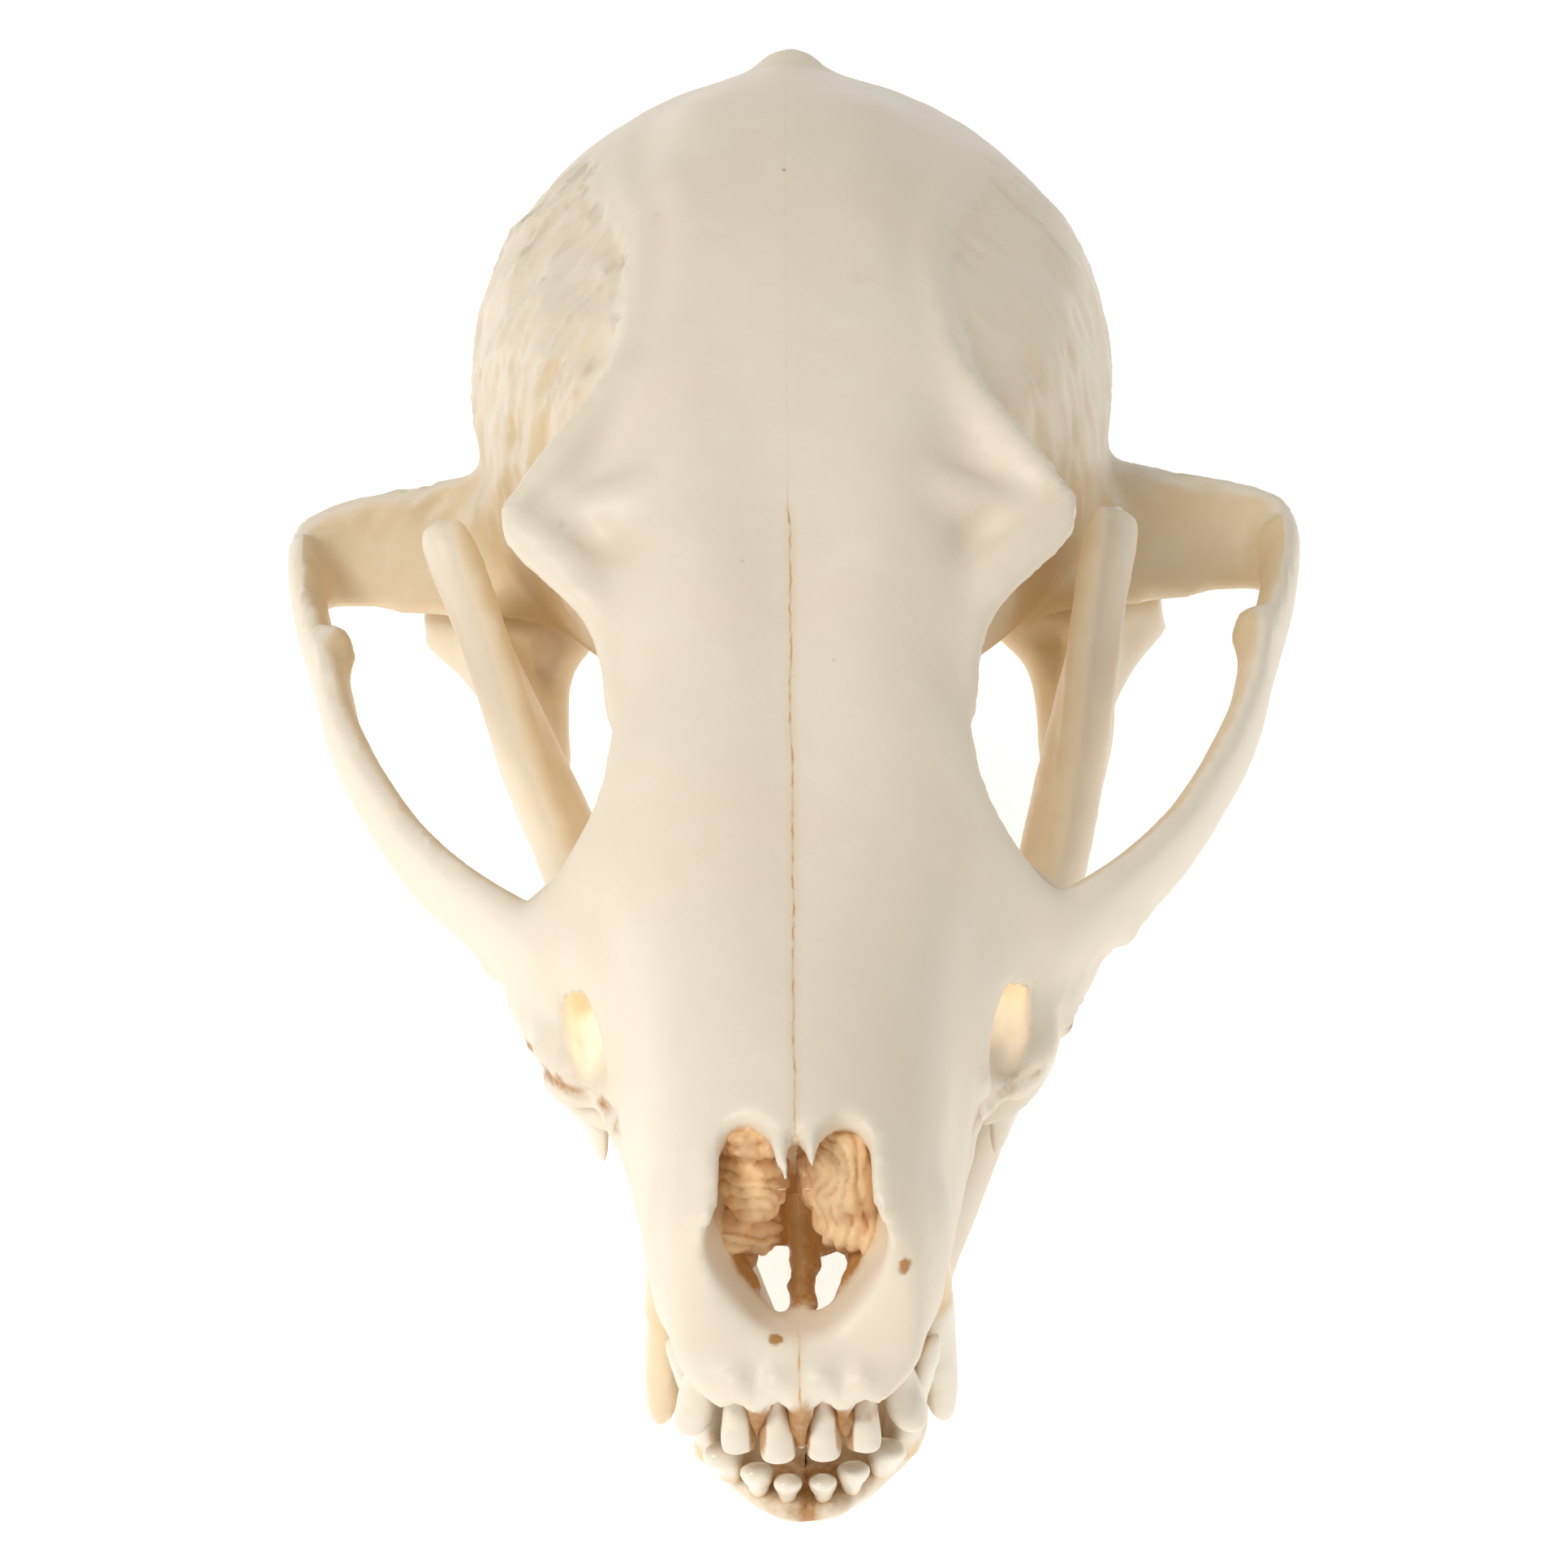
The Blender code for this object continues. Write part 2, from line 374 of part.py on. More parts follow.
def blob(centre, half, turn, segments=20):
    """Rounded mass with its own half sizes, turned about Z."""
    body = bmesh.new()
    bmesh.ops.create_uvsphere(body, u_segments=segments, v_segments=segments // 2, radius=1.0)
    shape = (
        Matrix.Translation(Vector(centre) * MM)
        @ Matrix.Rotation(math.radians(turn), 4, "Z")
        @ Matrix.Diagonal((half[0] * MM, half[1] * MM, half[2] * MM, 1.0))
    )
    body.transform(shape)
    return body


def taper(joints, segments=12):
    """Tapering rod through joints of (centre, radius)."""
    rings = []
    for index, (centre, radius) in enumerate(joints):
        before = Vector(joints[max(index - 1, 0)][0])
        after = Vector(joints[min(index + 1, len(joints) - 1)][0])
        axis = (after - before).normalized()
        side = axis.cross(Vector((0.0, 0.0, 1.0)) if abs(axis.z) < 0.9 else Vector((0.0, 1.0, 0.0)))
        side.normalize()
        other = axis.cross(side)
        ring = []
        for step in range(segments):
            angle = 2.0 * math.pi * step / segments
            ring.append(Vector(centre) + radius * (math.cos(angle) * side + math.sin(angle) * other))
        rings.append(ring)
    return loft(rings)


def mirror_copy(body):
    """The same form on the other side of the head."""
    twin = body.copy()
    twin.transform(Matrix.Diagonal((-1.0, 1.0, 1.0, 1.0)))
    bmesh.ops.reverse_faces(twin, faces=twin.faces)
    return twin


def gather(bodies):
    """One mesh from several bodies."""
    whole = bmesh.new()
    for body in bodies:
        part = bpy.data.meshes.new("part")
        body.to_mesh(part)
        whole.from_mesh(part)
        bpy.data.meshes.remove(part)
        body.free()
    mesh = bpy.data.meshes.new("form")
    whole.to_mesh(mesh)
    whole.free()
    return mesh


def settle(item):
    """Keep the evaluated mesh and drop the modifiers."""
    graph = bpy.context.evaluated_depsgraph_get()
    mesh = bpy.data.meshes.new_from_object(item.evaluated_get(graph))
    item.modifiers.clear()
    item.data = mesh


def fuse(item, voxel, rounds):
    """Grow overlapping forms into one skin and soften its steps."""
    grown = item.modifiers.new("grown_together", "REMESH")
    grown.mode = "VOXEL"
    grown.voxel_size = voxel * MM
    soft = item.modifiers.new("softened", "SMOOTH")
    soft.factor = 0.5
    soft.iterations = rounds
    settle(item)


def thin_out(item, triangles):
    """Fewer faces for the same form."""
    present = sum(len(face.vertices) - 2 for face in item.data.polygons)
    fewer = item.modifiers.new("fewer_faces", "DECIMATE")
    fewer.ratio = triangles / present
    fewer.use_collapse_triangulate = True
    settle(item)


def cut(item, cutter, cutters, operation="DIFFERENCE"):
    """Take a guide's space out of a piece, or grow the guide onto it."""
    cutters.objects.link(cutter)
    cutter.hide_render = True
    cutter.display_type = "WIRE"
    change = item.modifiers.new(cutter.name, "BOOLEAN")
    change.operation = operation
    change.solver = "EXACT"
    change.object = cutter
    settle(item)


def cutter_object(name, body):
    mesh = bpy.data.meshes.new(name)
    body.to_mesh(mesh)
    body.free()
    return bpy.data.objects.new(name, mesh)


def cheek_arch():
    """Thin upright blade that swings out from the upper jaw to the braincase."""
    rows = [(i, *point) for i, point in enumerate(CHEEK_ARCH)]
    steps = 3
    last = (len(CHEEK_ARCH) - 1) * steps
    rings = []
    for step in range(last + 1):
        x, y, z, tall, thick = along(rows, step / steps)
        before = along(rows, max(step - 1, 0) / steps)
        after = along(rows, min(step + 1, last) / steps)
        way = Vector((after[0] - before[0], after[1] - before[1], 0.0)).normalized()
        out = Vector((way.y, -way.x, 0.0))
        ring = []
        for corner in range(12):
            angle = 2.0 * math.pi * corner / 12
            ring.append(
                Vector((x, y, z))
                + out * thick * math.copysign(abs(math.cos(angle)) ** 0.8, math.cos(angle))
                + out * 0.12 * tall * math.sin(angle)
                + Vector((0.0, 0.0, tall * math.sin(angle)))
            )
        rings.append(ring)
    return loft(rings)


def squamosal_root():
    rings = [[Vector((x, y, z)) for y, z in outline] for x, outline in SQUAMOSAL_ROOT]
    return loft(rings)


def pterygoid_plate():
    rings = []
    for y, top, bottom in PTERYGOID_PLATE:
        rings.append([
            Vector((PLATE_X - PLATE_HALF, y, bottom)), Vector((PLATE_X + PLATE_HALF, y, bottom)),
            Vector((PLATE_X + PLATE_HALF * 1.5, y, top)), Vector((PLATE_X - PLATE_HALF, y, top)),
        ])
    return loft(rings)


def cranium_loft(lines, first, last, count, steps, inset=0.0, tip=None):
    """Body of the cranium between two stations, or its inner space with an inset."""
    rings = []
    for index in range(count + 1):
        station = first + (last - first) * index / count
        half = refine(half_section(lines, station), steps)
        half[0].x = 0.0
        half[-1].x = 0.0
        ring = mirrored_ring(half)
        if inset:
            middle = sum(ring, Vector()) / len(ring)
            for point in ring:
                inward = middle - point
                inward.y = 0.0
                point += inward.normalized() * inset
        rings.append(ring)
    return loft(rings, end_tip=tip)


def ring_box(y, half_width, low, high, corners=12, square=0.75):
    """Rounded opening outline at one distance back."""
    ring = []
    for corner in range(corners):
        angle = 2.0 * math.pi * (corner + 0.5) / corners
        across = math.copysign(abs(math.cos(angle)) ** square, math.cos(angle))
        rise = math.copysign(abs(math.sin(angle)) ** square, math.sin(angle))
        ring.append(Vector((half_width * across, y, (low + high) / 2 + (high - low) / 2 * rise)))
    return ring


def upright_oval(centre, half, low, high, corners=12):
    rings = []
    for z in (low, high):
        ring = []
        for corner in range(corners):
            angle = 2.0 * math.pi * corner / corners
            ring.append(Vector((
                centre[0] + half[0] * math.cos(angle), centre[1] + half[1] * math.sin(angle), z,
            )))
        rings.append(ring)
    return loft(rings)


def infraorbital_canal(corners=8):
    rings = []
    for y, x, z in INFRAORBITAL:
        ring = []
        for corner in range(corners):
            angle = 2.0 * math.pi * corner / corners
            ring.append(Vector((
                x + INFRAORBITAL_HALF[0] * math.cos(angle), y, z + INFRAORBITAL_HALF[1] * math.sin(angle),
            )))
        rings.append(ring)
    return loft(rings)


def both(body):
    return [body, mirror_copy(body)]


def build_cranium(collection, cutters, finish):
    lines = [full_line(line) for line in CRANIUM_LINES]
    forms = [cranium_loft(lines, 0.0, CRANIUM_END, 110, 3, tip=OCCIPUT_CENTRE)]
    forms.append(blob(*SAGITTAL_KNOB))
    forms += both(cheek_arch())
    forms += both(taper(CHEEK_BUMP))
    forms += both(squamosal_root())
    forms += both(taper(BROW))
    forms += both(taper(BROW_BACK))
    forms += both(taper(PROCESS_WEB))
    forms += both(pterygoid_plate())
    forms += both(taper(HAMULUS))
    forms += both(taper(PAROCCIPITAL))
    for mass in (BULLA, MASTOID, OCCIPITAL_CONDYLE, CANINE_SWELLING):
        forms += both(blob(*mass))
    cranium = place("cranium", gather(forms), collection, finish)
    fuse(cranium, CRANIUM_VOXEL, 2)
    thin_out(cranium, CRANIUM_TRIANGLES)
    holes = [("brain_space", cranium_loft(lines, *BRAIN_SPAN, 9, 1, inset=WALL))]
    low = FORAMEN_Z - FORAMEN_HALF[1]
    high = FORAMEN_Z + FORAMEN_HALF[1]
    foramen = [ring_box(y, FORAMEN_HALF[0], low, high, 12, 1.0) for y in FORAMEN_SPAN]
    holes.append(("foramen_magnum", loft(foramen)))
    holes.append(("nose_space", loft([ring_box(*row) for row in NASAL_MOUTH])))
    holes.append(("throat_passage", loft([ring_box(*row) for row in CHOANA])))
    holes.append(("nasal_slit", upright_oval(*NASAL_SLIT)))
    for side, name in ((1, "left"), (-1, "right")):
        pieces = {
            "nasal_notch_" + name: upright_oval(*NASAL_NOTCH),
            "palate_fissure_" + name: upright_oval(*PALATE_FISSURE, 8),
            "infraorbital_" + name: infraorbital_canal(),
            "ear_hole_" + name: taper(EAR_HOLE, 8),
        }
        for label, body in pieces.items():
            holes.append((label, body if side > 0 else mirror_copy(body)))
    for label, body in holes:
        cut(cranium, cutter_object(label, body), cutters)
    for label, mass in (("turbinate_left", TURBINATE_LEFT), ("turbinate_right", TURBINATE_RIGHT)):
        cut(cranium, cutter_object(label, blob(*mass, 12)), cutters, "UNION")
    return cranium


def skew(y, z):
    """Sideways shift of the lower jaw under the cranium."""
    raised = max(z - JAW_LEAN_FROM, 0.0) * min(max((y - 55.0) / 10.0, 0.0), 1.0)
    return along(SKEW, y)[0] - raised * SKEW_ROLL


def jaw_loft():
    """Half of the lower jaw as a blade whose sections stand across the head."""
    levels = (0.06, 0.2, 0.4, 0.6, 0.8, 0.95)
    rings = []
    count = 64
    first = JAW_STATIONS[0][0]
    last = JAW_STATIONS[-1][0]
    for index in range(count + 1):
        y = first + (last - first) * index / count
        low, high, middle, thick_low, thick_high = along(JAW_STATIONS, y)

        def at(level, side):
            z = low + (high - low) * level
            swell = (1.0 - abs(2.0 * level - 1.0) ** 3) ** 0.5 if 0.0 < level < 1.0 else 0.0
            thick = thick_low + (thick_high - thick_low) * level
            lean = max(z - JAW_LEAN_FROM, 0.0) * JAW_LEAN
            tuck = max(JAW_TUCK_BELOW - z, 0.0) * JAW_TUCK * min(max((y - 14.0) / 14.0, 0.0), 1.0)
            return Vector((middle + lean - tuck + side * thick * swell, y, z))

        ring = [at(0.0, 0)] + [at(level, 1) for level in levels]
        ring += [at(1.0, 0)] + [at(level, -1) for level in reversed(levels)]
        rings.append(ring)
    return loft(rings)


def slab(centre, size):
    """Plain block that takes a flat-sided piece away."""
    body = bmesh.new()
    bmesh.ops.create_cube(body, size=MM)
    body.transform(Matrix.Translation(Vector(centre) * MM) @ Matrix.Diagonal((*size, 1.0)))
    return body


def build_jaw(name, side, collection, cutters, finish):
    forms = [jaw_loft(), taper(CONDYLE), taper(ANGULAR), taper(CORONOID_EDGE)]
    mesh = gather(forms)
    for vertex in mesh.vertices:
        x, y, z = vertex.co / MM
        vertex.co.x = side * x * MM + skew(y, z) * MM
    if side < 0:
        mesh.flip_normals()
    jaw = place(name, mesh, collection, finish)
    fuse(jaw, JAW_VOXEL, 2)
    thin_out(jaw, JAW_TRIANGLES)
    beyond = skew(SYMPHYSIS[1], SYMPHYSIS[2]) - side * (SYMPHYSIS_CUT[0] / 2 - GAP / 2)
    middle = slab((beyond, SYMPHYSIS[1], SYMPHYSIS[2]), SYMPHYSIS_CUT)
    cut(jaw, cutter_object(name + "_symphysis", middle), cutters)
    hollow = blob(*MASSETER_HOLLOW, 12)
    cut(jaw, cutter_object(name + "_hollow", hollow if side > 0 else mirror_copy(hollow)), cutters)
    return jaw


def crown(spec, upper, side, grow=0.0):
    """A tooth, or with grow the room that it needs in the bone around it."""
    x, y, across, length, turn, height, tip_x, tip_y, root = spec[1:]
    base = tooth_line(y, upper)
    up = -1.0 if upper else 1.0
    turned = math.radians(-turn)
    sway = 0.0 if upper else skew(y, base)
    depth = ROOT_DEPTH * root

    def point(share, angle, level, lean):
        u = across * share * math.cos(angle)
        v = length * share * math.sin(angle)
        px = u * math.cos(turned) - v * math.sin(turned)
        py = u * math.sin(turned) + v * math.cos(turned)
        return Vector((side * (x + px + tip_x * lean) + sway, y + py + tip_y * lean, base + up * level))

    if grow:
        wide = 1.0 + grow / min(across, length)
        rows = [(wide, 3.0, 0.0), (wide, -depth - grow, 0.0)]
    else:
        rows = [(0.45, height * 0.78, 0.72), (0.85, height * 0.4, 0.32), (1.0, height * 0.04, 0.0),
                (0.9, -depth, 0.0)]
    rings = []
    for share, level, lean in rows:
        ring = []
        for step in range(TOOTH_SEGMENTS):
            ring.append(point(share, 2.0 * math.pi * step / TOOTH_SEGMENTS, level, lean))
        rings.append(ring)
    if grow:
        return loft(rings)
    return loft(rings, start_tip=point(0.0, 0.0, height, 1.0))


def tooth_line(y, upper):
    """Height of the tooth line at one distance back."""
    return along(UPPER_TOOTH_LINE if upper else LOWER_TOOTH_LINE, y)[0]


def build_teeth(bones, collection, cutters):
    for upper, specs in ((True, UPPER_TEETH), (False, LOWER_TEETH)):
        for spec in specs:
            for side, word in ((1, "left"), (-1, "right")):
                name = ("upper_" if upper else "lower_") + spec[0] + "_" + word
                mesh = gather([crown(spec, upper, side)])
                place(name, mesh, collection, material(name + "_enamel", ENAMEL))
                bone = bones["cranium"] if upper else bones["lower_jaw_" + word]
                room = crown(spec, upper, side, GAP)
                cut(bone, cutter_object(name + "_socket", room), cutters)


def rest_on_surface(items):
    """Tip and move the whole head so that the jaws lie on Z = 0."""
    move = (
        Matrix.Translation((0.0, 0.0, -FLOOR_Z * MM))
        @ Matrix.Rotation(math.radians(-REST_TILT), 4, "X")
        @ Matrix.Translation((0.0, -CENTRE_Y * MM, 0.0))
    )
    for item in items:
        item.data.transform(move)
        item.data.update()


def flatten_below(item, cutters):
    """Small flat facets where a jaw touches the surface."""
    below = slab((0.0, 0.0, -FACET_CUT[2] / 2), FACET_CUT)
    cut(item, cutter_object(item.name + "_facets", below), cutters)


def main():
    clear_scene()
    head = new_collection("fox_skull")
    cutters = new_collection("cutters")
    bones = {"cranium": build_cranium(head, cutters, material("cranium_bone", BONE))}
    for word, side in (("left", 1), ("right", -1)):
        name = "lower_jaw_" + word
        bones[name] = build_jaw(name, side, head, cutters, material(name + "_bone", BONE))
    build_teeth(bones, head, cutters)
    rest_on_surface([*head.objects, *cutters.objects])
    for word in ("left", "right"):
        flatten_below(bones["lower_jaw_" + word], cutters)
    for item in head.objects:
        item.data.shade_smooth()
        item.data.set_sharp_from_angle(angle=math.radians(SHARP_ANGLE))


if __name__ == "__main__":
    main()
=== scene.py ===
"""Fox skull at rest on its lower jaw: fine bone surfaces, teeth, stains and studio.

The bones are laid out in a skull frame, in millimetres: X to the animal's left,
Y back from the front of the premaxilla, Z up from the upper tooth line. Every
finished piece is then tipped and moved as the CAD solids are.
"""

import math

import bmesh
import bpy
import numpy as np
from mathutils import Matrix, Vector
from mathutils.bvhtree import BVHTree


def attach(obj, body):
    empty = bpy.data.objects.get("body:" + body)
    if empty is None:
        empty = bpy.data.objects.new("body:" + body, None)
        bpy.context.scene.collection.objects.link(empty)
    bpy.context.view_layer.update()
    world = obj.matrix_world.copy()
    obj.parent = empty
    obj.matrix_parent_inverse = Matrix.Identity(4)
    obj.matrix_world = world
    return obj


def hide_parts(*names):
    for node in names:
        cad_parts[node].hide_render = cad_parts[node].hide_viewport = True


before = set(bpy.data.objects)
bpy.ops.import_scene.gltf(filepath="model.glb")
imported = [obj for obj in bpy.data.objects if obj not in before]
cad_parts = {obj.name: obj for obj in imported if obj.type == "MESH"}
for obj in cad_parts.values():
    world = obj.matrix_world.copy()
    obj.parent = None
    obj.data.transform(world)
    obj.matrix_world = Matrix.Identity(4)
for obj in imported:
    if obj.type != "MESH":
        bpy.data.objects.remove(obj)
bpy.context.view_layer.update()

MM = 0.001
# How the skull lies: tilt in degrees, height and middle of its own frame over the ground.
REST_TILT = 4.8
FLOOR_Z = -18.45
CENTRE_Y = 61.2
# Thickness of the braincase wall, and the cell sizes in which forms grow together.
WALL = 2.1
FORM_VOXEL = 0.7
CRANIUM_VOXEL = 0.55
JAW_VOXEL = 0.4
SCROLL_VOXEL = 0.2
TOOTH_SEGMENTS = 20
ROOT_DEPTH = 3.2
# Distance from a seam at which none of it shows, in millimetres.
NO_SEAM = 5.0

DORSAL_LINE = [
    (0, 0, 1.4), (1, 0, 2.6), (2.6, 0, 3.2), (3.6, 0, 6.4), (4.9, 0, 9.8), (7.4, 0, 13.2),
    (10, 0, 14.2), (15, 0, 15.2), (20, 0, 15.8), (25, 0, 16.3), (30, 0, 17.0), (35, 0, 18.0),
    (40, 0, 19.3), (45, 0, 20.8), (50, 0, 22.4), (55, 0, 24.0), (60, 0, 25.6), (65, 0, 27.2),
    (70, 0, 28.7), (75, 0, 30.0), (80, 0, 31.0), (85, 0, 31.8), (90, 0, 32.2), (95, 0, 32.2),
    (100, 0, 31.8), (105, 0, 31.0, 105.6), (112, 0, 28.4, 114), (116, 0, 26.2, 118),
    (119, 0, 24.9, 120.3), (121, 0, 22.6, 118.8),
]
PLATEAU_LINE = [
    (0, 1.5, 1.3), (2.6, 2.5, 3.1), (4.9, 2.8, 10.0), (7.4, 2.6, 13.0), (10, 2.8, 13.9),
    (20, 3.2, 15.5), (30, 3.8, 16.9), (40, 4.4, 19.5), (50, 4.8, 22.9), (55, 5.4, 24.6),
    (60, 6.6, 26.1), (65, 7.4, 27.2), (70, 7.2, 28.3), (75, 6.4, 29.5), (80, 5.5, 30.6),
    (90, 5.0, 31.9), (100, 5.6, 31.1), (106, 6.0, 29.9, 106.4), (112, 5.2, 27.0, 113.4),
    (116, 4.8, 25.2, 117), (119, 4.2, 23.9, 119.3), (121, 3.6, 22.0, 118.0),
]
INNER_CREST_LINE = [
    (0, 3.0, 1.1), (2.6, 4.6, 3.2), (4.9, 5.3, 10.6), (7.4, 5.0, 12.3), (10, 5.2, 12.9),
    (20, 6.1, 14.2), (30, 7.2, 15.6), (40, 8.2, 18.4), (46, 8.6, 20.4), (52, 9.0, 21.9),
    (57, 10.4, 23.1), (60, 11.8, 23.2), (65, 12.9, 23.8), (69, 12.2, 25.6), (74, 10.2, 28.2),
    (80, 8.7, 29.7), (86, 8.2, 30.4), (92, 8.4, 30.5), (98, 9.2, 29.7), (104, 9.6, 28.3, 104),
    (109, 9.2, 26.8, 109.6), (112, 8.7, 25.8, 112.4), (116, 8.2, 24.4, 116.2),
    (119, 7.6, 23.2, 118.4), (121, 6.4, 21.4, 117.2),
]
CREST_LINE = [
    (0, 4.2, 0.8), (2.6, 6.4, 3.6), (4.9, 6.6, 9.4), (7.4, 6.9, 10.9), (10, 7.3, 11.2),
    (20, 8.3, 12.3), (30, 9.6, 13.2), (36, 10.9, 14.2), (41, 12.6, 15.0), (46, 12.3, 17.2),
    (52, 11.7, 19.0), (57.7, 12.5, 21.5), (60.9, 14.6, 22.8), (63.7, 17.4, 24.0),
    (65, 19.3, 24.6), (66.4, 18.2, 25.2), (69.1, 16.1, 26.2), (73.1, 13.3, 27.6),
    (76.9, 11.2, 28.7), (81, 10.4, 29.4), (86.5, 9.7, 29.9), (92.7, 10.0, 29.7),
    (97, 11.0, 29.1), (101.6, 11.3, 28.1), (105.4, 11.3, 27.0, 105.4), (112, 10.9, 25.2, 111.4),
    (116, 10.3, 23.9, 114.8), (119, 9.8, 22.6, 117.2), (121, 8.2, 20.8, 116.4),
]
BELOW_CREST_LINE = [
    (0, 4.8, 0.2), (2.6, 7.2, 3.0), (4.9, 7.6, 7.8), (7.4, 8.2, 8.9), (10, 8.6, 9.1),
    (20, 9.7, 9.6), (30, 10.8, 10.4), (36, 12.4, 11.6), (41, 15.4, 11.6), (43, 14.6, 12.4),
    (46, 11.4, 14.8), (52, 10.7, 16.8), (58, 10.9, 19.2), (62, 12.0, 21.4), (65, 13.6, 22.9),
    (68, 13.6, 23.6), (74, 13.0, 25.8), (80, 12.5, 27.7), (86, 12.2, 28.5), (92, 12.7, 28.2),
    (98, 14.0, 27.3), (105, 14.9, 25.6, 104.8), (112, 14.6, 23.4, 110.6),
    (116, 13.7, 22.3, 113.6), (119, 12.8, 21.2, 116.0), (121, 10.4, 19.2, 115.2),
]
UPPER_WALL_LINE = [
    (0, 5.2, -0.3), (2.6, 7.6, 2.1), (4.9, 8.2, 6.0), (7.4, 8.9, 6.7), (10, 9.3, 6.8),
    (20, 10.2, 6.9), (26, 11.0, 7.1), (30, 11.8, 7.5), (34, 13.2, 8.4), (38, 15.6, 9.4),
    (41, 17.6, 9.4), (43, 15.0, 10.0), (46, 9.4, 11.0), (52, 8.6, 13.5), (58, 8.8, 16.0),
    (62, 9.6, 18.2), (66, 11.4, 19.8), (70, 12.8, 20.8), (74, 15.0, 22.4), (80, 16.8, 24.1),
    (86, 17.9, 24.7), (92, 18.7, 24.3), (98, 19.2, 23.4), (105, 19.2, 21.8, 104.2),
    (112, 18.1, 20.0, 109), (116, 17.0, 19.2, 111.6), (119, 16.0, 18.4, 113.6),
    (121, 12.6, 16.6, 113.6),
]
MID_WALL_LINE = [
    (0, 5.2, -0.7), (2.6, 7.7, 1.1), (4.9, 8.5, 3.9), (7.4, 9.3, 4.3), (10, 9.7, 4.4),
    (20, 10.6, 4.2), (26, 11.6, 4.5), (30, 12.5, 4.9), (34, 14.0, 5.5), (38, 16.8, 6.0),
    (41, 18.8, 6.2), (43, 16.0, 6.8), (46, 10.0, 7.5), (52, 8.2, 9.5), (58, 7.8, 12.0),
    (62, 8.2, 14.0), (66, 9.8, 15.2), (70, 12.3, 16.0), (74, 15.8, 17.2), (80, 18.8, 18.6),
    (86, 20.4, 19.0), (92, 21.3, 19.0), (98, 21.5, 18.5), (105, 21.1, 17.2, 103.6),
    (112, 20.2, 15.8, 106.6), (116, 19.3, 15.2, 108.8), (119, 18.5, 14.7, 110.6),
    (121, 14.2, 13.6, 112.0),
]
LOWER_WALL_LINE = [
    (0, 4.9, -0.9), (2.6, 7.4, 0.4), (4.9, 8.3, 2.2), (7.4, 9.2, 2.6), (10, 9.5, 2.6),
    (20, 10.7, 2.2), (26, 11.8, 2.2), (30, 12.9, 2.5), (34, 14.8, 2.9), (38, 17.4, 3.3),
    (41, 19.2, 3.6), (46, 18.3, 4.4), (50, 17.4, 4.0), (54, 14.0, 4.0), (58, 8.2, 6.0),
    (62, 7.2, 9.5), (66, 8.6, 10.6), (70, 11.8, 11.0), (74, 15.9, 11.8), (80, 19.6, 12.6),
    (86, 21.4, 13.4), (92, 22.1, 14.0), (96, 22.3, 14.2), (100, 22.0, 13.6, 99.8),
    (105, 21.6, 12.6, 102.2), (112, 20.8, 11.2, 104.2), (116, 19.9, 10.9, 106.4),
    (119, 19.1, 10.7, 108.2), (121, 14.8, 10.4, 110.8),
]
OUTER_RIM_LINE = [
    (0, 4.4, -1.0), (2.6, 6.9, -0.2), (4.9, 7.8, 0.7), (7.4, 8.8, 1.0), (10, 9.2, 1.0),
    (20, 10.6, 0.4), (26, 11.6, 0.3), (30, 12.7, 0.3), (34, 14.6, 0.4), (38, 16.9, 0.5),
    (42, 18.3, 0.6), (46, 18.5, 0.9), (50, 17.4, 1.2), (54, 14.4, 1.6), (58, 8.6, 3.0),
    (62, 6.6, 5.5), (66, 7.4, 7.2), (70, 10.5, 7.2), (74, 14.5, 7.4), (80, 18.4, 7.9),
    (86, 20.2, 8.2), (92, 20.6, 8.6), (98, 20.6, 8.4), (105, 20.2, 7.4, 101.2),
    (112, 19.6, 6.6, 102), (116, 19.2, 6.5, 103.8), (119, 18.6, 6.5, 105.8),
    (121, 14.0, 7.0, 110),
]
INNER_RIM_LINE = [
    (0, 3.6, -1.1), (2.6, 6.0, -0.7), (4.9, 6.6, -0.6), (10, 7.2, -0.4), (20, 8.2, -0.5),
    (30, 9.2, -0.5), (36, 10.6, -0.5), (42, 12.2, -0.4), (50, 12.0, 0.0), (54, 11.0, 0.6),
    (58, 7.6, 1.6), (62, 5.8, 4.2), (66, 6.2, 5.6), (70, 7.8, 5.6), (74, 10.4, 5.2),
    (80, 13.6, 4.8), (86, 15.4, 4.6), (92, 16.0, 4.6), (98, 16.0, 4.4), (105, 15.8, 3.6, 101.6),
    (112, 15.6, 3.0, 102.5), (116, 15.3, 2.7, 104.6), (119, 15.0, 2.5, 106.5),
    (121, 11.5, 4.0, 110),
]
PALATE_LINE = [
    (0, 2.0, -1.1), (2.6, 3.8, -0.6), (4.9, 4.0, 0.2), (10, 4.0, 0.8), (20, 4.4, 1.0),
    (30, 5.0, 1.2), (42, 6.2, 1.4), (54, 6.0, 1.7), (58, 4.6, 2.2), (62, 3.6, 4.6),
    (70, 4.0, 5.4), (80, 6.0, 4.6), (92, 8.0, 3.6), (104, 7.9, 2.2, 102.6),
    (112, 7.8, 1.9, 104.5), (116, 7.6, 1.6, 106.8), (119, 7.5, 1.4, 109), (121, 6.5, 3.0, 111.8),
]
VENTRAL_LINE = [
    (0, 0, -1.1), (2.6, 0, -0.4), (4.9, 0, 0.5), (10, 0, 1.1), (30, 0, 1.5), (54, 0, 1.8),
    (58, 0, 2.3), (62, 0, 4.7), (70, 0, 5.4), (80, 0, 4.6), (92, 0, 3.4), (104, 0, 2.3, 103.6),
    (112, 0, 1.9, 107), (116, 0, 1.9, 109.6), (119, 0, 2.0, 112), (121, 0, 3.0, 113.5),
]
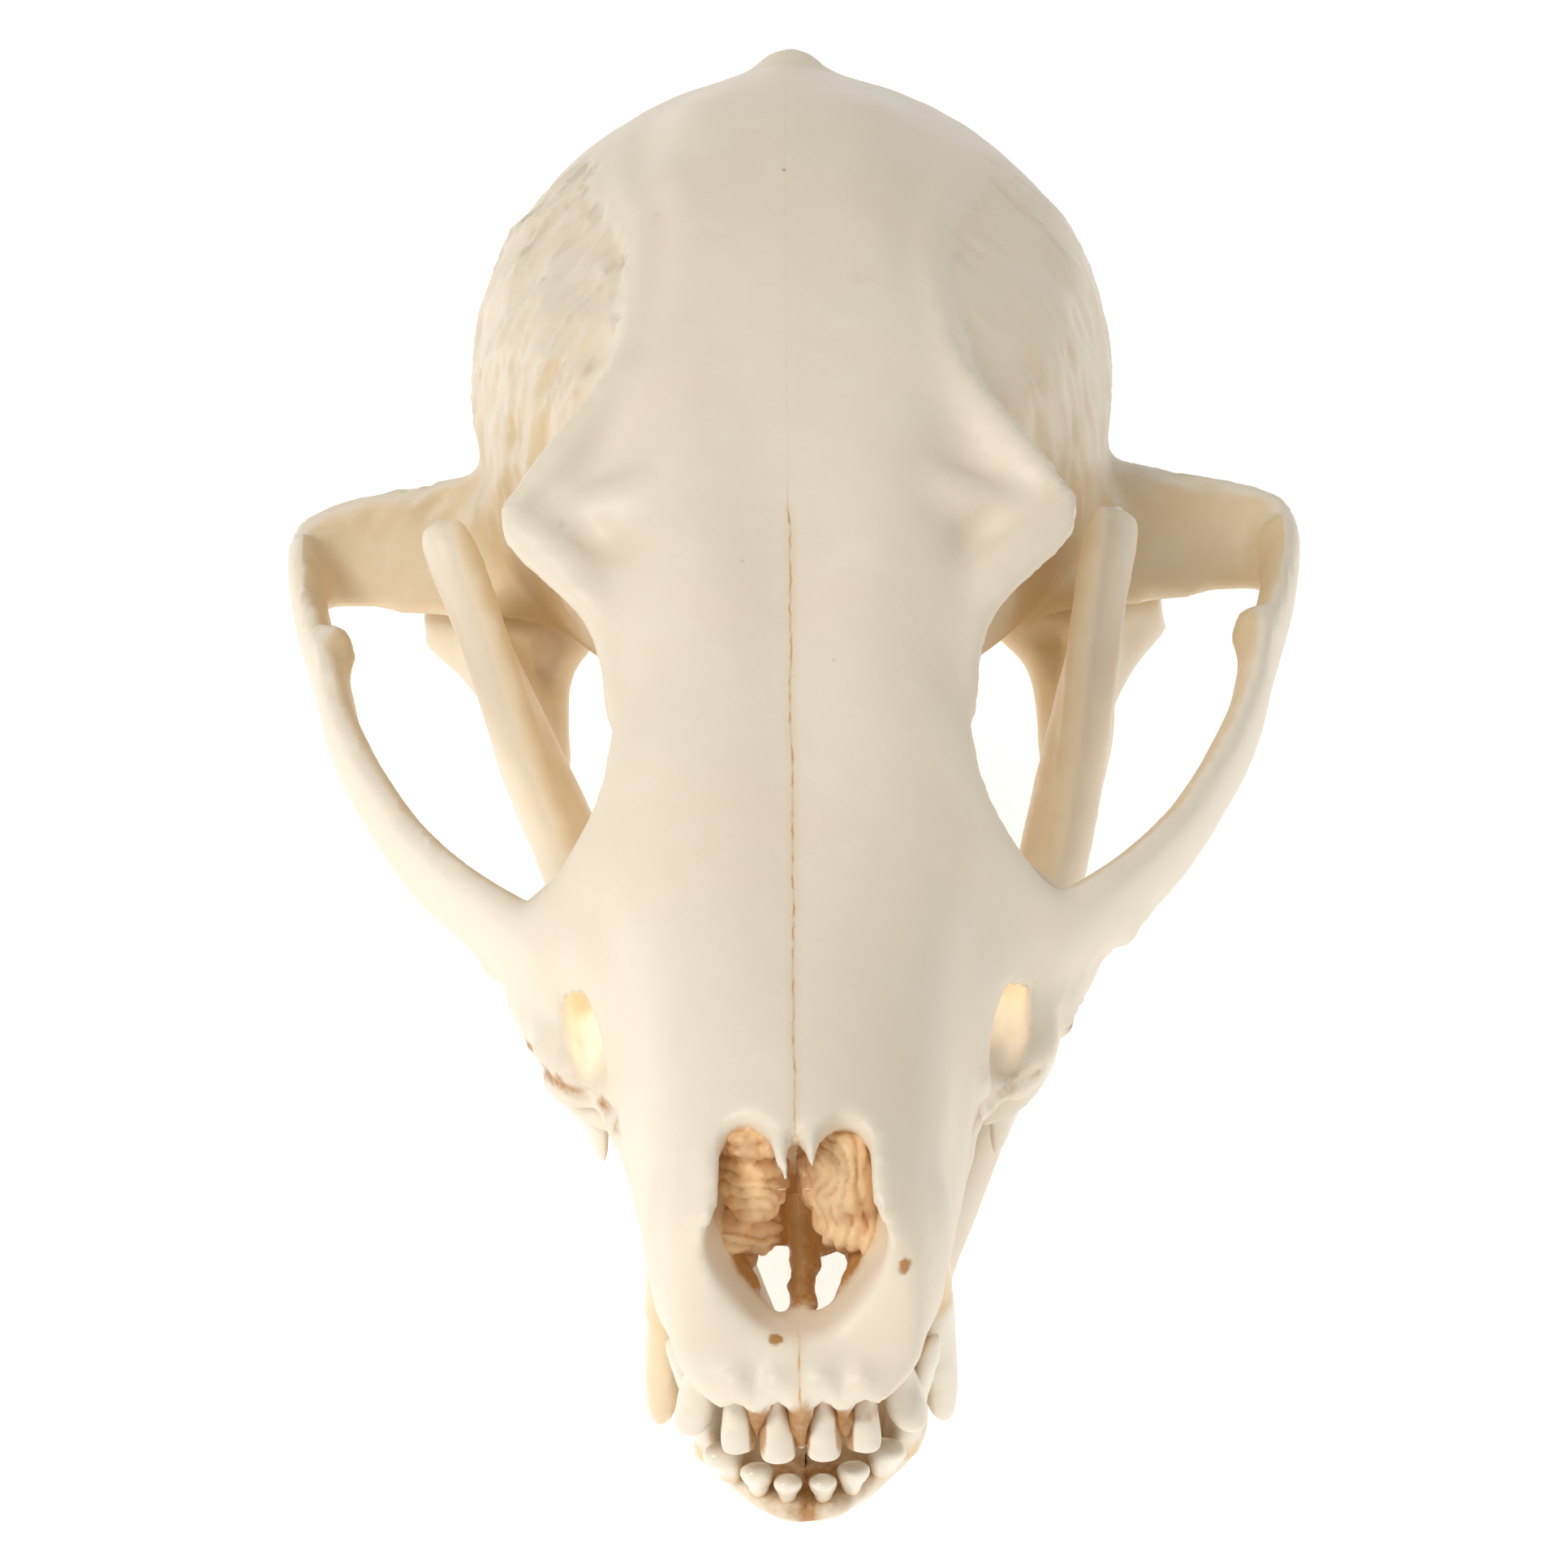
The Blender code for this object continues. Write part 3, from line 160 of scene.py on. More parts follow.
CRANIUM_LINES = [
    DORSAL_LINE, PLATEAU_LINE, INNER_CREST_LINE, CREST_LINE, BELOW_CREST_LINE,
    UPPER_WALL_LINE, MID_WALL_LINE, LOWER_WALL_LINE, OUTER_RIM_LINE, INNER_RIM_LINE,
    PALATE_LINE, VENTRAL_LINE,
]
CRANIUM_END = 121.0
OCCIPUT_CENTRE = (0.0, 116.6, 13.5)

# Cheek arch: (x, y, middle z, half height, half thickness), front to back.
CHEEK_ARCH = [
    (15.0, 39.2, 4.8, 4.2, 2.6), (18.4, 42.6, 5.2, 4.0, 2.0), (21.9, 46.8, 5.4, 3.7, 1.5),
    (25.2, 51.8, 5.6, 3.5, 1.3), (28.0, 57.8, 6.0, 3.4, 1.25), (30.2, 64.0, 6.5, 3.7, 1.25),
    (31.4, 70.0, 7.2, 4.0, 1.3), (32.6, 75.6, 7.4, 3.4, 1.3), (33.3, 80.6, 7.6, 3.0, 1.3),
    (33.3, 84.4, 7.7, 2.8, 1.5),
]
CHEEK_BUMP = [((31.0, 70.8, 8.6), 1.7), ((30.9, 71.5, 11.2), 0.9)]

# Root of the cheek arch on the braincase: outlines in (y, z) at four distances out.
SQUAMOSAL_ROOT = [
    (13.0, [(80.8, 4.2), (83.5, 9.0), (88, 14), (93, 14),
            (94, 8), (91.5, 2.6), (88, 4.4), (84, 4.4)]),
    (20.0, [(81.2, 4.2), (84.2, 7.8), (88.8, 12), (91.4, 10),
            (91.8, 4), (91.0, 0.0), (89.6, 3.6), (85.0, 4.5)]),
    (26.0, [(81.8, 4.3), (84.6, 7.7), (88.0, 10.9), (90.4, 9.2),
            (91.2, 4.5), (90.8, 0.0), (89.6, 3.6), (85.2, 4.5)]),
    (30.0, [(82.3, 4.5), (84.8, 7.7), (87.7, 10.5), (89.4, 9.0),
            (89.9, 5.5), (89.5, 3.0), (88.2, 4.3), (85.2, 4.6)]),
    (33.4, [(82.6, 5.0), (84.2, 7.9), (86.9, 10.0), (87.9, 8.8),
            (87.9, 6.5), (87.2, 5.1), (85.9, 4.9), (84.2, 4.8)]),
    (34.7, [(83.0, 6.2), (83.8, 7.8), (85.4, 9.0), (86.1, 8.4),
            (86.1, 7.2), (85.5, 6.2), (84.8, 6.0), (84.0, 5.9)]),
]

# Rounded masses that grow out of the skull base: centre, half sizes, turn about Z.
BULLA = ((11.4, 98.4, 0.3), (6.0, 8.8, 6.7), 18.0)
MASTOID = ((18.2, 103.0, 5.4), (3.0, 4.4, 3.8), 0.0)
OCCIPITAL_CONDYLE = ((7.3, 115.0, 5.4), (3.0, 4.0, 4.6), -22.0)
SAGITTAL_KNOB = ((0.2, 118.4, 25.0), (2.5, 2.2, 1.7), 0.0)
CANINE_SWELLING = ((7.7, 13.0, 5.0), (2.2, 5.6, 5.0), 6.0)
PAROCCIPITAL = [((15.6, 106.5, 5.0), 3.4), ((15.2, 107.6, 0.0), 2.4), ((14.6, 108.2, -4.6), 1.2)]
HAMULUS = [((6.1, 74.0, 1.6), 1.3), ((6.0, 78.6, -0.2), 1.1), ((5.8, 81.4, -1.4), 0.9)]
# Side wall of the throat passage: (y, top z, bottom z).
PTERYGOID_PLATE = [
    (57.0, 4.0, 0.4), (62.0, 7.5, 0.2), (68.0, 8.0, 0.2), (74.0, 8.0, 0.4), (79.0, 6.5, 1.6),
]
PLATE_X = 6.2
PLATE_HALF = 0.85

# Thick rolled edge above the eye: (centre), radius, from the brow to the process tip and back.
BROW = [((11.2, 50.0, 17.6), 1.2), ((11.4, 55.0, 19.8), 1.3), ((13.2, 59.6, 21.8), 1.5),
        ((16.2, 63.0, 23.2), 1.4), ((18.9, 64.9, 24.1), 0.75)]
BROW_BACK = [((18.6, 65.0, 24.2), 0.8), ((15.6, 68.9, 25.4), 1.3), ((12.9, 73.0, 26.8), 1.2),
             ((10.8, 77.0, 28.0), 1.1), ((9.8, 82.0, 28.8), 1.0)]
PROCESS_WEB = [((9.5, 66.0, 23.5), 3.2), ((13.5, 65.6, 23.3), 2.2), ((17.0, 65.3, 23.8), 1.2)]

# Openings in the cranium.
EAR_HOLE = [((17.5, 95.0, 2.6), 1.7), ((24.0, 93.0, 3.4), 1.7)]
FORAMEN_HALF = (6.2, 5.6)
FORAMEN_Z = 8.3
FORAMEN_SPAN = (104.0, 123.0)
BRAIN_SPAN = (72.0, 111.0)
INFRAORBITAL = [(26.0, 13.7, 2.9), (35.0, 13.7, 4.6), (45.0, 13.6, 8.4)]
INFRAORBITAL_HALF = (1.25, 2.2)
# Front opening of the nose: (y, half width, floor z, top z), and the shape of one side of it,
# from the floor up: (share of the height, share of the half width).
NOSE_EGG = [
    (-3.0, 5.5, 4.6, 12.4), (1.5, 5.7, 3.9, 12.2), (4.0, 5.8, 2.6, 12.1), (7.0, 5.8, 1.7, 12.1),
    (10.0, 5.8, 1.3, 12.3), (14.0, 5.7, 1.5, 12.8), (18.0, 5.0, 2.6, 13.0),
]
EGG_SIDE = [
    (0.0, 0.16), (0.03, 0.3), (0.1, 0.45), (0.22, 0.6), (0.36, 0.76), (0.5, 0.9),
    (0.64, 0.99), (0.76, 0.99), (0.87, 0.88), (0.95, 0.7), (1.0, 0.45),
]
# Holes in the floor of the nose: middle, half sizes, slant toward the back, low z, high z.
PALATE_HOLES = {
    -1: ((-1.6, 10.3), (1.6, 3.9), -0.3, -4.0, 4.0),
    1: ((2.0, 10.2), (1.25, 3.9), 0.5, -4.0, 4.0),
}
# Long outer point and short inner point of each nasal bone.
NASAL_POINT = [((5.3, 12.5, 12.5), 0.75), ((5.35, 8.6, 12.0), 0.62), ((5.3, 6.0, 10.9), 0.4)]
INNER_POINT = [((1.25, 12.4, 13.8), 0.6), ((1.12, 9.8, 13.5), 0.48), ((0.95, 7.9, 13.0), 0.24)]
# Crust left between the roots of the upper front teeth.
GUM_CRUST = [
    ((0.05, 1.3, -1.8), (0.8, 1.15, 2.2), 0.0), ((2.75, 1.7, -1.7), (0.66, 1.1, 2.0), 0.0),
    ((-2.72, 1.7, -1.7), (0.7, 1.1, 2.0), 0.0),
]
# Rolled lip of the brow from the tip of its corner to the edge of the eye opening.
BROW_ROLL = [((19.2, 64.4, 24.0), 0.6), ((18.1, 63.1, 23.3), 0.85), ((16.7, 61.6, 22.7), 0.9),
             ((14.9, 59.4, 22.2), 0.8), ((13.6, 57.6, 21.8), 0.6)]
# Masses that carry the two halves of the chin up to each other.
CHIN_MASS = [
    ((0.4, 3.2, -10.3), (2.9, 1.8, 1.2), 0.0), ((0.4, 6.4, -11.1), (3.3, 4.0, 2.0), 0.0),
    ((0.4, 11.0, -12.2), (3.6, 4.6, 2.2), 0.0),
]
# Rough bar between the two holes in the floor of the nose.
VOMER = [((0.15, 16.0, 4.6), 1.1), ((0.3, 13.2, 2.2), 0.95), ((0.2, 10.0, 1.0), 0.8), ((0.0, 7.2, 1.1), 0.7)]
# Lobes of the rolled bones in the nose.
SCROLL_RIGHT = [
    ((3.0, 13.6, 8.5), (2.95, 4.2, 4.3), 0.0), ((3.3, 12.4, 5.6), (2.4, 3.4, 2.0), 0.0),
    ((4.6, 11.6, 5.4), (1.5, 3.0, 1.5), 0.0),
]
SCROLL_LEFT = [
    ((-2.7, 13.2, 8.3), (2.3, 3.8, 2.9), 0.0), ((-3.1, 13.6, 11.8), (1.9, 3.2, 1.7), 0.0),
    ((-1.5, 12.8, 12.1), (0.9, 2.4, 1.2), 0.0), ((-4.4, 11.8, 5.2), (1.7, 3.0, 1.1), 0.0),
    ((-2.6, 12.6, 4.7), (1.8, 3.0, 1.0), 0.0),
]
# Swellings of the upper jaw over the roots of the big cheek teeth.
ROOT_BULGES = [
    ((14.9, 34.6, 1.3), (2.0, 3.8, 2.8), -24.0), ((16.9, 40.4, 1.8), (2.1, 4.2, 3.0), -20.0),
    ((18.2, 46.2, 2.2), (1.9, 3.4, 2.6), 0.0),
]
# Bone that runs over from the cheek root to the braincase, and its slim lower edge.
SQUAMOSAL_WEB = [((14.5, 80.5, 9.0), 2.6), ((17.4, 84.6, 9.6), 3.4), ((21.0, 87.4, 10.2), 2.6)]
ARCH_WEB = [((14.2, 79.6, 5.2), 1.5), ((17.5, 82.2, 5.5), 1.6), ((21.5, 83.2, 5.4), 1.3)]
# The neck of the jaw joint spreads to both ends of its head.
NECK_OUTER = [((24.6, 86.3, 0.6), 1.7), ((21.8, 84.8, -2.2), 1.6), ((18.9, 81.6, -6.0), 1.5)]
NECK_MIDDLE = [((19.6, 86.2, -0.6), 1.7), ((18.7, 84.2, -3.0), 1.7), ((17.5, 80.8, -7.4), 1.6)]
NECK_INNER = [((14.8, 86.3, 0.6), 1.7), ((17.2, 84.2, -2.4), 1.5), ((17.6, 79.6, -7.6), 1.5),
              ((17.0, 74.0, -11.0), 1.5)]
# Gaps between and beside the nasal bones: middle, half sizes, low z, high z.
NASAL_SLIT = ((0.06, 8.6), (0.6, 2.9), 9.0, 20.0)
NASAL_NOTCH = ((3.3, 7.7), (2.25, 4.3), 9.0, 20.0)
# Throat passage: (y, half width, low z, high z).
CHOANA = [(50.0, 2.2, 4.2, 7.6), (56.0, 3.6, 3.8, 8.6), (64.0, 4.4, -1.0, 8.4)]

# Half of the lower jaw: (y, bottom z, top z, middle x, half thickness below, above).
JAW_STATIONS = [
    (1.2, -10.5, -9.5, 0.9, 0.9, 0.9), (2.1, -10.9, -9.3, 1.4, 1.2, 1.6),
    (4.6, -12.1, -9.0, 2.3, 1.4, 3.0), (7.4, -13.4, -8.5, 2.9, 2.2, 3.4),
    (12.0, -15.2, -7.8, 3.9, 3.3, 3.7), (16.0, -16.8, -7.6, 4.4, 3.4, 3.3),
    (20.0, -18.2, -7.6, 5.1, 3.1, 2.9), (25.0, -19.3, -7.6, 6.4, 2.8, 2.6),
    (30.0, -19.9, -7.7, 7.7, 2.7, 2.4), (35.0, -20.4, -7.8, 8.9, 2.6, 2.4),
    (43.0, -20.5, -7.8, 10.8, 2.5, 2.6), (51.0, -19.9, -7.6, 12.6, 2.4, 2.5),
    (58.0, -18.9, -6.6, 14.0, 2.3, 2.1), (61.6, -18.3, -4.4, 14.7, 2.3, 1.8),
    (64.5, -17.9, 2.0, 15.5, 2.3, 1.7), (68.0, -17.6, 10.0, 16.4, 2.3, 1.5),
    (71.0, -17.6, 15.6, 17.1, 2.2, 1.3), (73.6, -17.8, 18.0, 17.8, 2.2, 1.1),
    (76.0, -18.0, 16.8, 18.4, 2.1, 1.0), (78.0, -17.9, 12.6, 18.9, 2.1, 1.0),
    (80.6, -17.2, 4.6, 19.4, 2.0, 1.3), (83.6, -14.6, 2.4, 19.8, 1.8, 1.9),
    (86.6, -9.6, 1.6, 20.0, 1.4, 2.4),
]
# The blade leans out above one height and is tucked in below another.
JAW_LEAN = math.tan(math.radians(13.0))
JAW_LEAN_FROM = -4.0
JAW_TUCK = 0.28
JAW_TUCK_BELOW = -8.0
CONDYLE = [((13.7, 86.6, 0.9), 1.84), ((16.65, 86.6, 0.9), 2.3), ((22.55, 86.6, 0.9), 2.3),
           ((25.5, 86.6, 0.9), 1.84)]
CORONOID_EDGE = [((15.9, 61.2, -6.5), 1.8), ((18.6, 65.0, 3.0), 1.8), ((20.8, 69.4, 12.0), 1.8),
                 ((22.1, 72.0, 16.0), 1.9), ((22.9, 73.8, 17.4), 1.6)]
ANGULAR = [((17.2, 81.0, -13.4), 2.0), ((18.2, 86.0, -12.0), 1.8), ((19.2, 89.6, -9.8), 1.1)]
MASSETER_HOLLOW = ((23.0, 73.5, -3.0), (3.2, 7.6, 9.4), -10.0)
SYMPHYSIS = (0.0, 5.0, -12.0)
SYMPHYSIS_CUT = (40.0, 60.0, 40.0)
# The lower jaw lies slightly skewed under the cranium, as in the photograph.
SKEW = [(0.0, 0.2), (5.0, 0.2), (38.0, 1.2), (62.0, 1.2), (84.0, 0.3), (92.0, 0.2)]
SKEW_ROLL = 0.075

# Teeth of one side: (name, x, y, across, along, turn, crown, tip x, tip y, root scale).
UPPER_TEETH = [
    ("incisor_1", 1.5, 2.2, 1.08, 1.1, 0.0, 4.3, -0.02, -2.1, 0.25),
    ("incisor_2", 3.95, 2.9, 1.1, 1.15, 12.0, 4.3, -0.05, -1.9, 0.25),
    ("incisor_3", 6.2, 4.7, 1.2, 1.5, 24.0, 4.6, 0.9, -1.4, 0.4),
    ("canine", 8.3, 10.3, 1.55, 2.3, 4.0, 10.5, 0.85, 0.0, 0.35),
    ("premolar_1", 8.4, 16.3, 0.95, 1.6, 4.0, 2.7, 0.1, -0.4, 0.72),
    ("premolar_2", 9.2, 22.1, 1.15, 2.9, 6.0, 3.9, 0.1, -0.6, 0.72),
    ("premolar_3", 10.2, 29.1, 1.25, 3.3, 9.0, 4.5, 0.1, -0.7, 0.72),
    ("premolar_4", 14.4, 36.9, 2.1, 5.2, 27.0, 5.9, -1.3, -3.4, 0.6),
    ("molar_1", 14.7, 46.5, 4.3, 3.3, 10.0, 3.2, 1.6, 0.0, 0.66),
    ("molar_2", 13.7, 52.4, 3.1, 2.1, 16.0, 2.4, 0.8, 0.0, 0.66),
]
LOWER_TEETH = [
    ("incisor_1", 1.12, 2.6, 0.92, 0.95, 0.0, 2.5, 0.0, -1.5, 0.12),
    ("incisor_2", 3.0, 3.3, 1.05, 1.05, 14.0, 2.7, 0.1, -1.3, 0.12),
    ("incisor_3", 5.0, 4.7, 1.3, 1.2, 30.0, 2.9, 0.35, -1.2, 0.12),
    ("canine", 6.1, 7.4, 1.25, 1.7, 10.0, 8.9, 2.3, -1.2, 0.16),
    ("premolar_1", 6.2, 13.9, 0.85, 1.3, 0.0, 2.0, 0.0, -0.3, 0.72),
    ("premolar_2", 6.3, 19.2, 1.0, 2.6, 4.0, 3.2, 0.0, -0.5, 0.72),
    ("premolar_3", 7.3, 26.5, 1.15, 3.1, 8.0, 3.7, 0.0, -0.5, 0.72),
    ("premolar_4", 8.6, 34.2, 1.3, 3.5, 12.0, 4.2, 0.0, -0.4, 0.72),
    ("molar_1", 10.5, 44.3, 1.75, 5.8, 14.0, 5.2, 0.1, -2.2, 0.72),
    ("molar_2", 13.0, 53.8, 1.9, 2.8, 14.0, 2.2, 0.0, 0.0, 0.72),
    ("molar_3", 14.3, 58.6, 1.1, 1.3, 14.0, 1.4, 0.0, 0.0, 0.72),
]

# Height of the bone's edge at the teeth: (y, z).
UPPER_TOOTH_LINE = [(0, -0.6), (5, -0.1), (10, 0.9), (16, 0.2), (30, 0.1), (54, 0.8)]
LOWER_TOOTH_LINE = [(0, -9.8), (4.6, -9.1), (8, -8.2), (14, -7.6), (60, -6.9)]


REST = (
    Matrix.Translation((0.0, 0.0, -FLOOR_Z * MM))
    @ Matrix.Rotation(math.radians(-REST_TILT), 4, "X")
    @ Matrix.Translation((0.0, -CENTRE_Y * MM, 0.0))
)

# Form tools.

def pick(*items):
    """Select these pieces alone, the first one active."""
    bpy.ops.object.select_all(action="DESELECT")
    for item in items:
        item.select_set(True)
    bpy.context.view_layer.objects.active = items[0]


def piece(name, body):
    """Scene object from an edited mesh."""
    mesh = bpy.data.meshes.new(name)
    body.to_mesh(mesh)
    body.free()
    item = bpy.data.objects.new(name, mesh)
    bpy.context.scene.collection.objects.link(item)
    return item


def settle(item):
    """Apply every modifier of a piece, in order."""
    pick(item)
    for modifier in list(item.modifiers):
        bpy.ops.object.modifier_apply(modifier=modifier.name)


def join(items, name):
    pick(*items)
    bpy.ops.object.join()
    items[0].name = name
    return items[0]


def fuse(item, voxel, rounds):
    """Grow overlapping forms into one skin and soften its steps."""
    grown = item.modifiers.new("grown_together", "REMESH")
    grown.mode = "VOXEL"
    grown.voxel_size = voxel * MM
    soft = item.modifiers.new("softened", "SMOOTH")
    soft.factor = 0.5
    soft.iterations = rounds
    settle(item)


def cut(item, cutter):
    """Take one form out of another."""
    change = item.modifiers.new("cut", "BOOLEAN")
    change.operation = "DIFFERENCE"
    change.solver = "EXACT"
    change.object = cutter
    settle(item)
    bpy.data.objects.remove(cutter, do_unlink=True)


def along(line, station):
    """Smooth curve through a line's points; the first value is the station."""
    last = len(line) - 1
    at = min(max(station, line[0][0]), line[last][0])
    span = 0
    while span < last - 1 and line[span + 1][0] < at:
        span += 1
    left = line[span]
    right = line[span + 1]
    width = right[0] - left[0]
    share = (at - left[0]) / width
    values = []
    for axis in range(1, len(left)):
        chord = (right[axis] - left[axis]) / width
        before = line[max(span - 1, 0)]
        after = line[min(span + 2, last)]
        start = chord if span == 0 else (right[axis] - before[axis]) / (right[0] - before[0])
        end = chord if span + 1 == last else (after[axis] - left[axis]) / (after[0] - left[0])
        square = share * share
        cube = square * share
        values.append(
            left[axis] * (2 * cube - 3 * square + 1)
            + right[axis] * (3 * square - 2 * cube)
            + start * width * (cube - 2 * square + share)
            + end * width * (cube - square)
        )
    return values


def full_line(line):
    return [(p[0], p[1], p[2], p[3] if len(p) > 3 else p[0]) for p in line]


def half_section(lines, station):
    points = []
    for line in lines:
        x, z, y = along(line, station)
        points.append(Vector((max(x, 0.0), y, z)))
    return points


def round_trip(count, start=0.0):
    """Cosine and sine at even steps round a circle."""
    angles = (2.0 * math.pi * (i + start) / count for i in range(count))
    return [(math.cos(angle), math.sin(angle)) for angle in angles]


def squared(value, power):
    """Signed power of a cosine or sine, which squares a circle off."""
    return math.copysign(abs(value) ** power, value)


def refine(points, steps):
    """Smooth curve through the points, with steps pieces between two of them."""
    rows = [(i, *p) for i, p in enumerate(points)]
    count = (len(points) - 1) * steps
    return [Vector(along(rows, i / steps)) for i in range(count + 1)]


def closed_curve(points, steps):
    """Smooth closed curve through the points."""
    count = len(points)
    wrapped = [points[i % count] for i in range(-2, count + 3)]
    rows = [(i - 2, *p) for i, p in enumerate(wrapped)]
    return [Vector(along(rows, i / steps)) for i in range(count * steps)]


def loft(rings, start_tip=None, end_tip=None):
    """Skin over rings of equal length; the ends are closed over a middle point."""
    body = bmesh.new()
    rows = [[body.verts.new(p * MM) for p in ring] for ring in rings]
    size = len(rings[0])
    for first, second in zip(rows, rows[1:]):
        for i in range(size):
            j = (i + 1) % size
            body.faces.new((first[i], first[j], second[j], second[i]))
    for row, ring, tip in ((rows[0], rings[0], start_tip), (rows[-1], rings[-1], end_tip)):
        middle = Vector(tip) if tip else sum(ring, Vector()) / size
        centre = body.verts.new(middle * MM)
        for i in range(size):
            body.faces.new((row[i], row[(i + 1) % size], centre))
    bmesh.ops.recalc_face_normals(body, faces=body.faces)
    return body


def ball(centre, half, turn):
    """Rounded mass with its own half sizes, turned about Z."""
    bpy.ops.mesh.primitive_uv_sphere_add(
        segments=36, ring_count=18, radius=MM, location=Vector(centre) * MM,
        rotation=(0.0, 0.0, math.radians(turn)), scale=half)
    bpy.ops.object.transform_apply(location=True, rotation=True, scale=True)
    return bpy.context.object


def taper(joints, segments=20, steps=4):
    """Tapering rod on a smooth curve through joints of (centre, radius)."""
    rows = [(i, *centre, radius) for i, (centre, radius) in enumerate(joints)]
    count = (len(joints) - 1) * steps
    path = [along(rows, i / steps) for i in range(count + 1)]
    rings = []
    for index, point in enumerate(path):
        before = Vector(path[max(index - 1, 0)][:3])
        after = Vector(path[min(index + 1, count)][:3])
        axis = (after - before).normalized()
        side = axis.cross(Vector((0.0, 0.0, 1.0)) if abs(axis.z) < 0.9 else Vector((0.0, 1.0, 0.0)))
        side.normalize()
        other = axis.cross(side)
        rings.append([
            Vector(point[:3]) + point[3] * (u * side + v * other) for u, v in round_trip(segments)])
    return piece("rod", loft(rings))


def twin(item):
    """The same form on the other side of the head."""
    pick(item)
    bpy.ops.object.duplicate()
    copy = bpy.context.object
    copy.data.transform(Matrix.Diagonal((-1.0, 1.0, 1.0, 1.0)))
    copy.data.flip_normals()
    return copy


def both(item):
    return [item, twin(item)]


def cheek_arch():
    """Slender upright blade that swings out from the upper jaw to the braincase."""
    rows = [(i, *point) for i, point in enumerate(CHEEK_ARCH)]
    steps = 8
    last = (len(CHEEK_ARCH) - 1) * steps
    rings = []
    for step in range(last + 1):
        x, y, z, tall, thick = along(rows, step / steps)
        before = along(rows, max(step - 1, 0) / steps)
        after = along(rows, min(step + 1, last) / steps)
        way = Vector((after[0] - before[0], after[1] - before[1], 0.0)).normalized()
        out = Vector((way.y, -way.x, 0.0))
        rings.append([
            Vector((x, y, z)) + out * thick * squared(u, 0.8) + out * 0.12 * tall * v
            + Vector((0.0, 0.0, tall * v)) for u, v in round_trip(28)])
    return piece("arch", loft(rings))


def squamosal_root():
    """Shelf of the braincase that the lower jaw hangs under."""
    count = len(SQUAMOSAL_ROOT)
    rows = [
        [(i, out, *outline[corner]) for i, (out, outline) in enumerate(SQUAMOSAL_ROOT)]
        for corner in range(len(SQUAMOSAL_ROOT[0][1]))]
    rings = []
    for step in range((count - 1) * 6 + 1):
        outline = [Vector(along(row, step / 6)) for row in rows]
        rings.append(closed_curve(outline, 3))
    return piece("shelf", loft(rings))


def pterygoid_plate():
    rings = []
    for y, top, bottom in PTERYGOID_PLATE:
        rings.append([
            Vector((PLATE_X - PLATE_HALF, y, bottom)), Vector((PLATE_X + PLATE_HALF, y, bottom)),
            Vector((PLATE_X + PLATE_HALF * 1.5, y, top)), Vector((PLATE_X - PLATE_HALF, y, top)),
        ])
    return piece("plate", loft(rings))


def cranium_loft(lines, first, last, count, steps, inset=0.0, tip=None):
    """Body of the cranium between two stations, or its inner space with an inset."""
    rings = []
    for index in range(count + 1):
        station = first + (last - first) * index / count
        half = refine(half_section(lines, station), steps)
        half[0].x = 0.0
        half[-1].x = 0.0
        ring = half + [Vector((-p.x, p.y, p.z)) for p in half[-2:0:-1]]
        if inset:
            middle = sum(ring, Vector()) / len(ring)
            for point in ring:
                inward = middle - point
                inward.y = 0.0
                point += inward.normalized() * inset
        rings.append(ring)
    return piece("body", loft(rings, end_tip=tip))


def ring_box(y, half_width, low, high, corners=28, square=0.75):
    """Rounded opening outline at one distance back."""
    return [
        Vector((half_width * squared(u, square), y, (low + high) / 2 + (high - low) / 2 * squared(v, square)))
        for u, v in round_trip(corners, 0.5)]


def upright_oval(centre, half, low, high):
    return piece("oval", loft([
        [Vector((centre[0] + half[0] * u, centre[1] + half[1] * v, z)) for u, v in round_trip(28)]
        for z in (low, high)]))


def infraorbital_canal():
    half_x, half_z = INFRAORBITAL_HALF
    return piece("canal", loft([
        [Vector((x + half_x * u, y, z + half_z * v)) for u, v in round_trip(24)]
        for y, x, z in INFRAORBITAL]))


def nose_mouth():
    """Egg-shaped front opening of the nose: wide below the nasal bones, narrow at its floor."""
    rings = []
    for y, half, low, high in NOSE_EGG:
        right = [Vector((half * wide, y, low + (high - low) * up)) for up, wide in EGG_SIDE]
        left = [Vector((-point.x, point.y, point.z)) for point in reversed(right)]
        rings.append(right + left)
    return piece("nose", loft(rings))


def fissure(side):
    """Slanting hole in the floor of the nose, beside the midline."""
    (x, y), (half_x, half_y), lean, low, high = PALATE_HOLES[side]
    rings = []
    for index in range(8):
        z = low + (high - low) * index / 7
        ring = []
        for corner in range(28):
            angle = 2.0 * math.pi * corner / 28
            v = math.sin(angle)
            wide = half_x * (0.72 + 0.42 * v) * (1.0 + 0.07 * math.sin(3 * angle + side))
            ring.append(Vector((x + lean * v + wide * math.cos(angle), y + half_y * v, z)))
        rings.append(ring)
    return piece("hole", loft(rings))


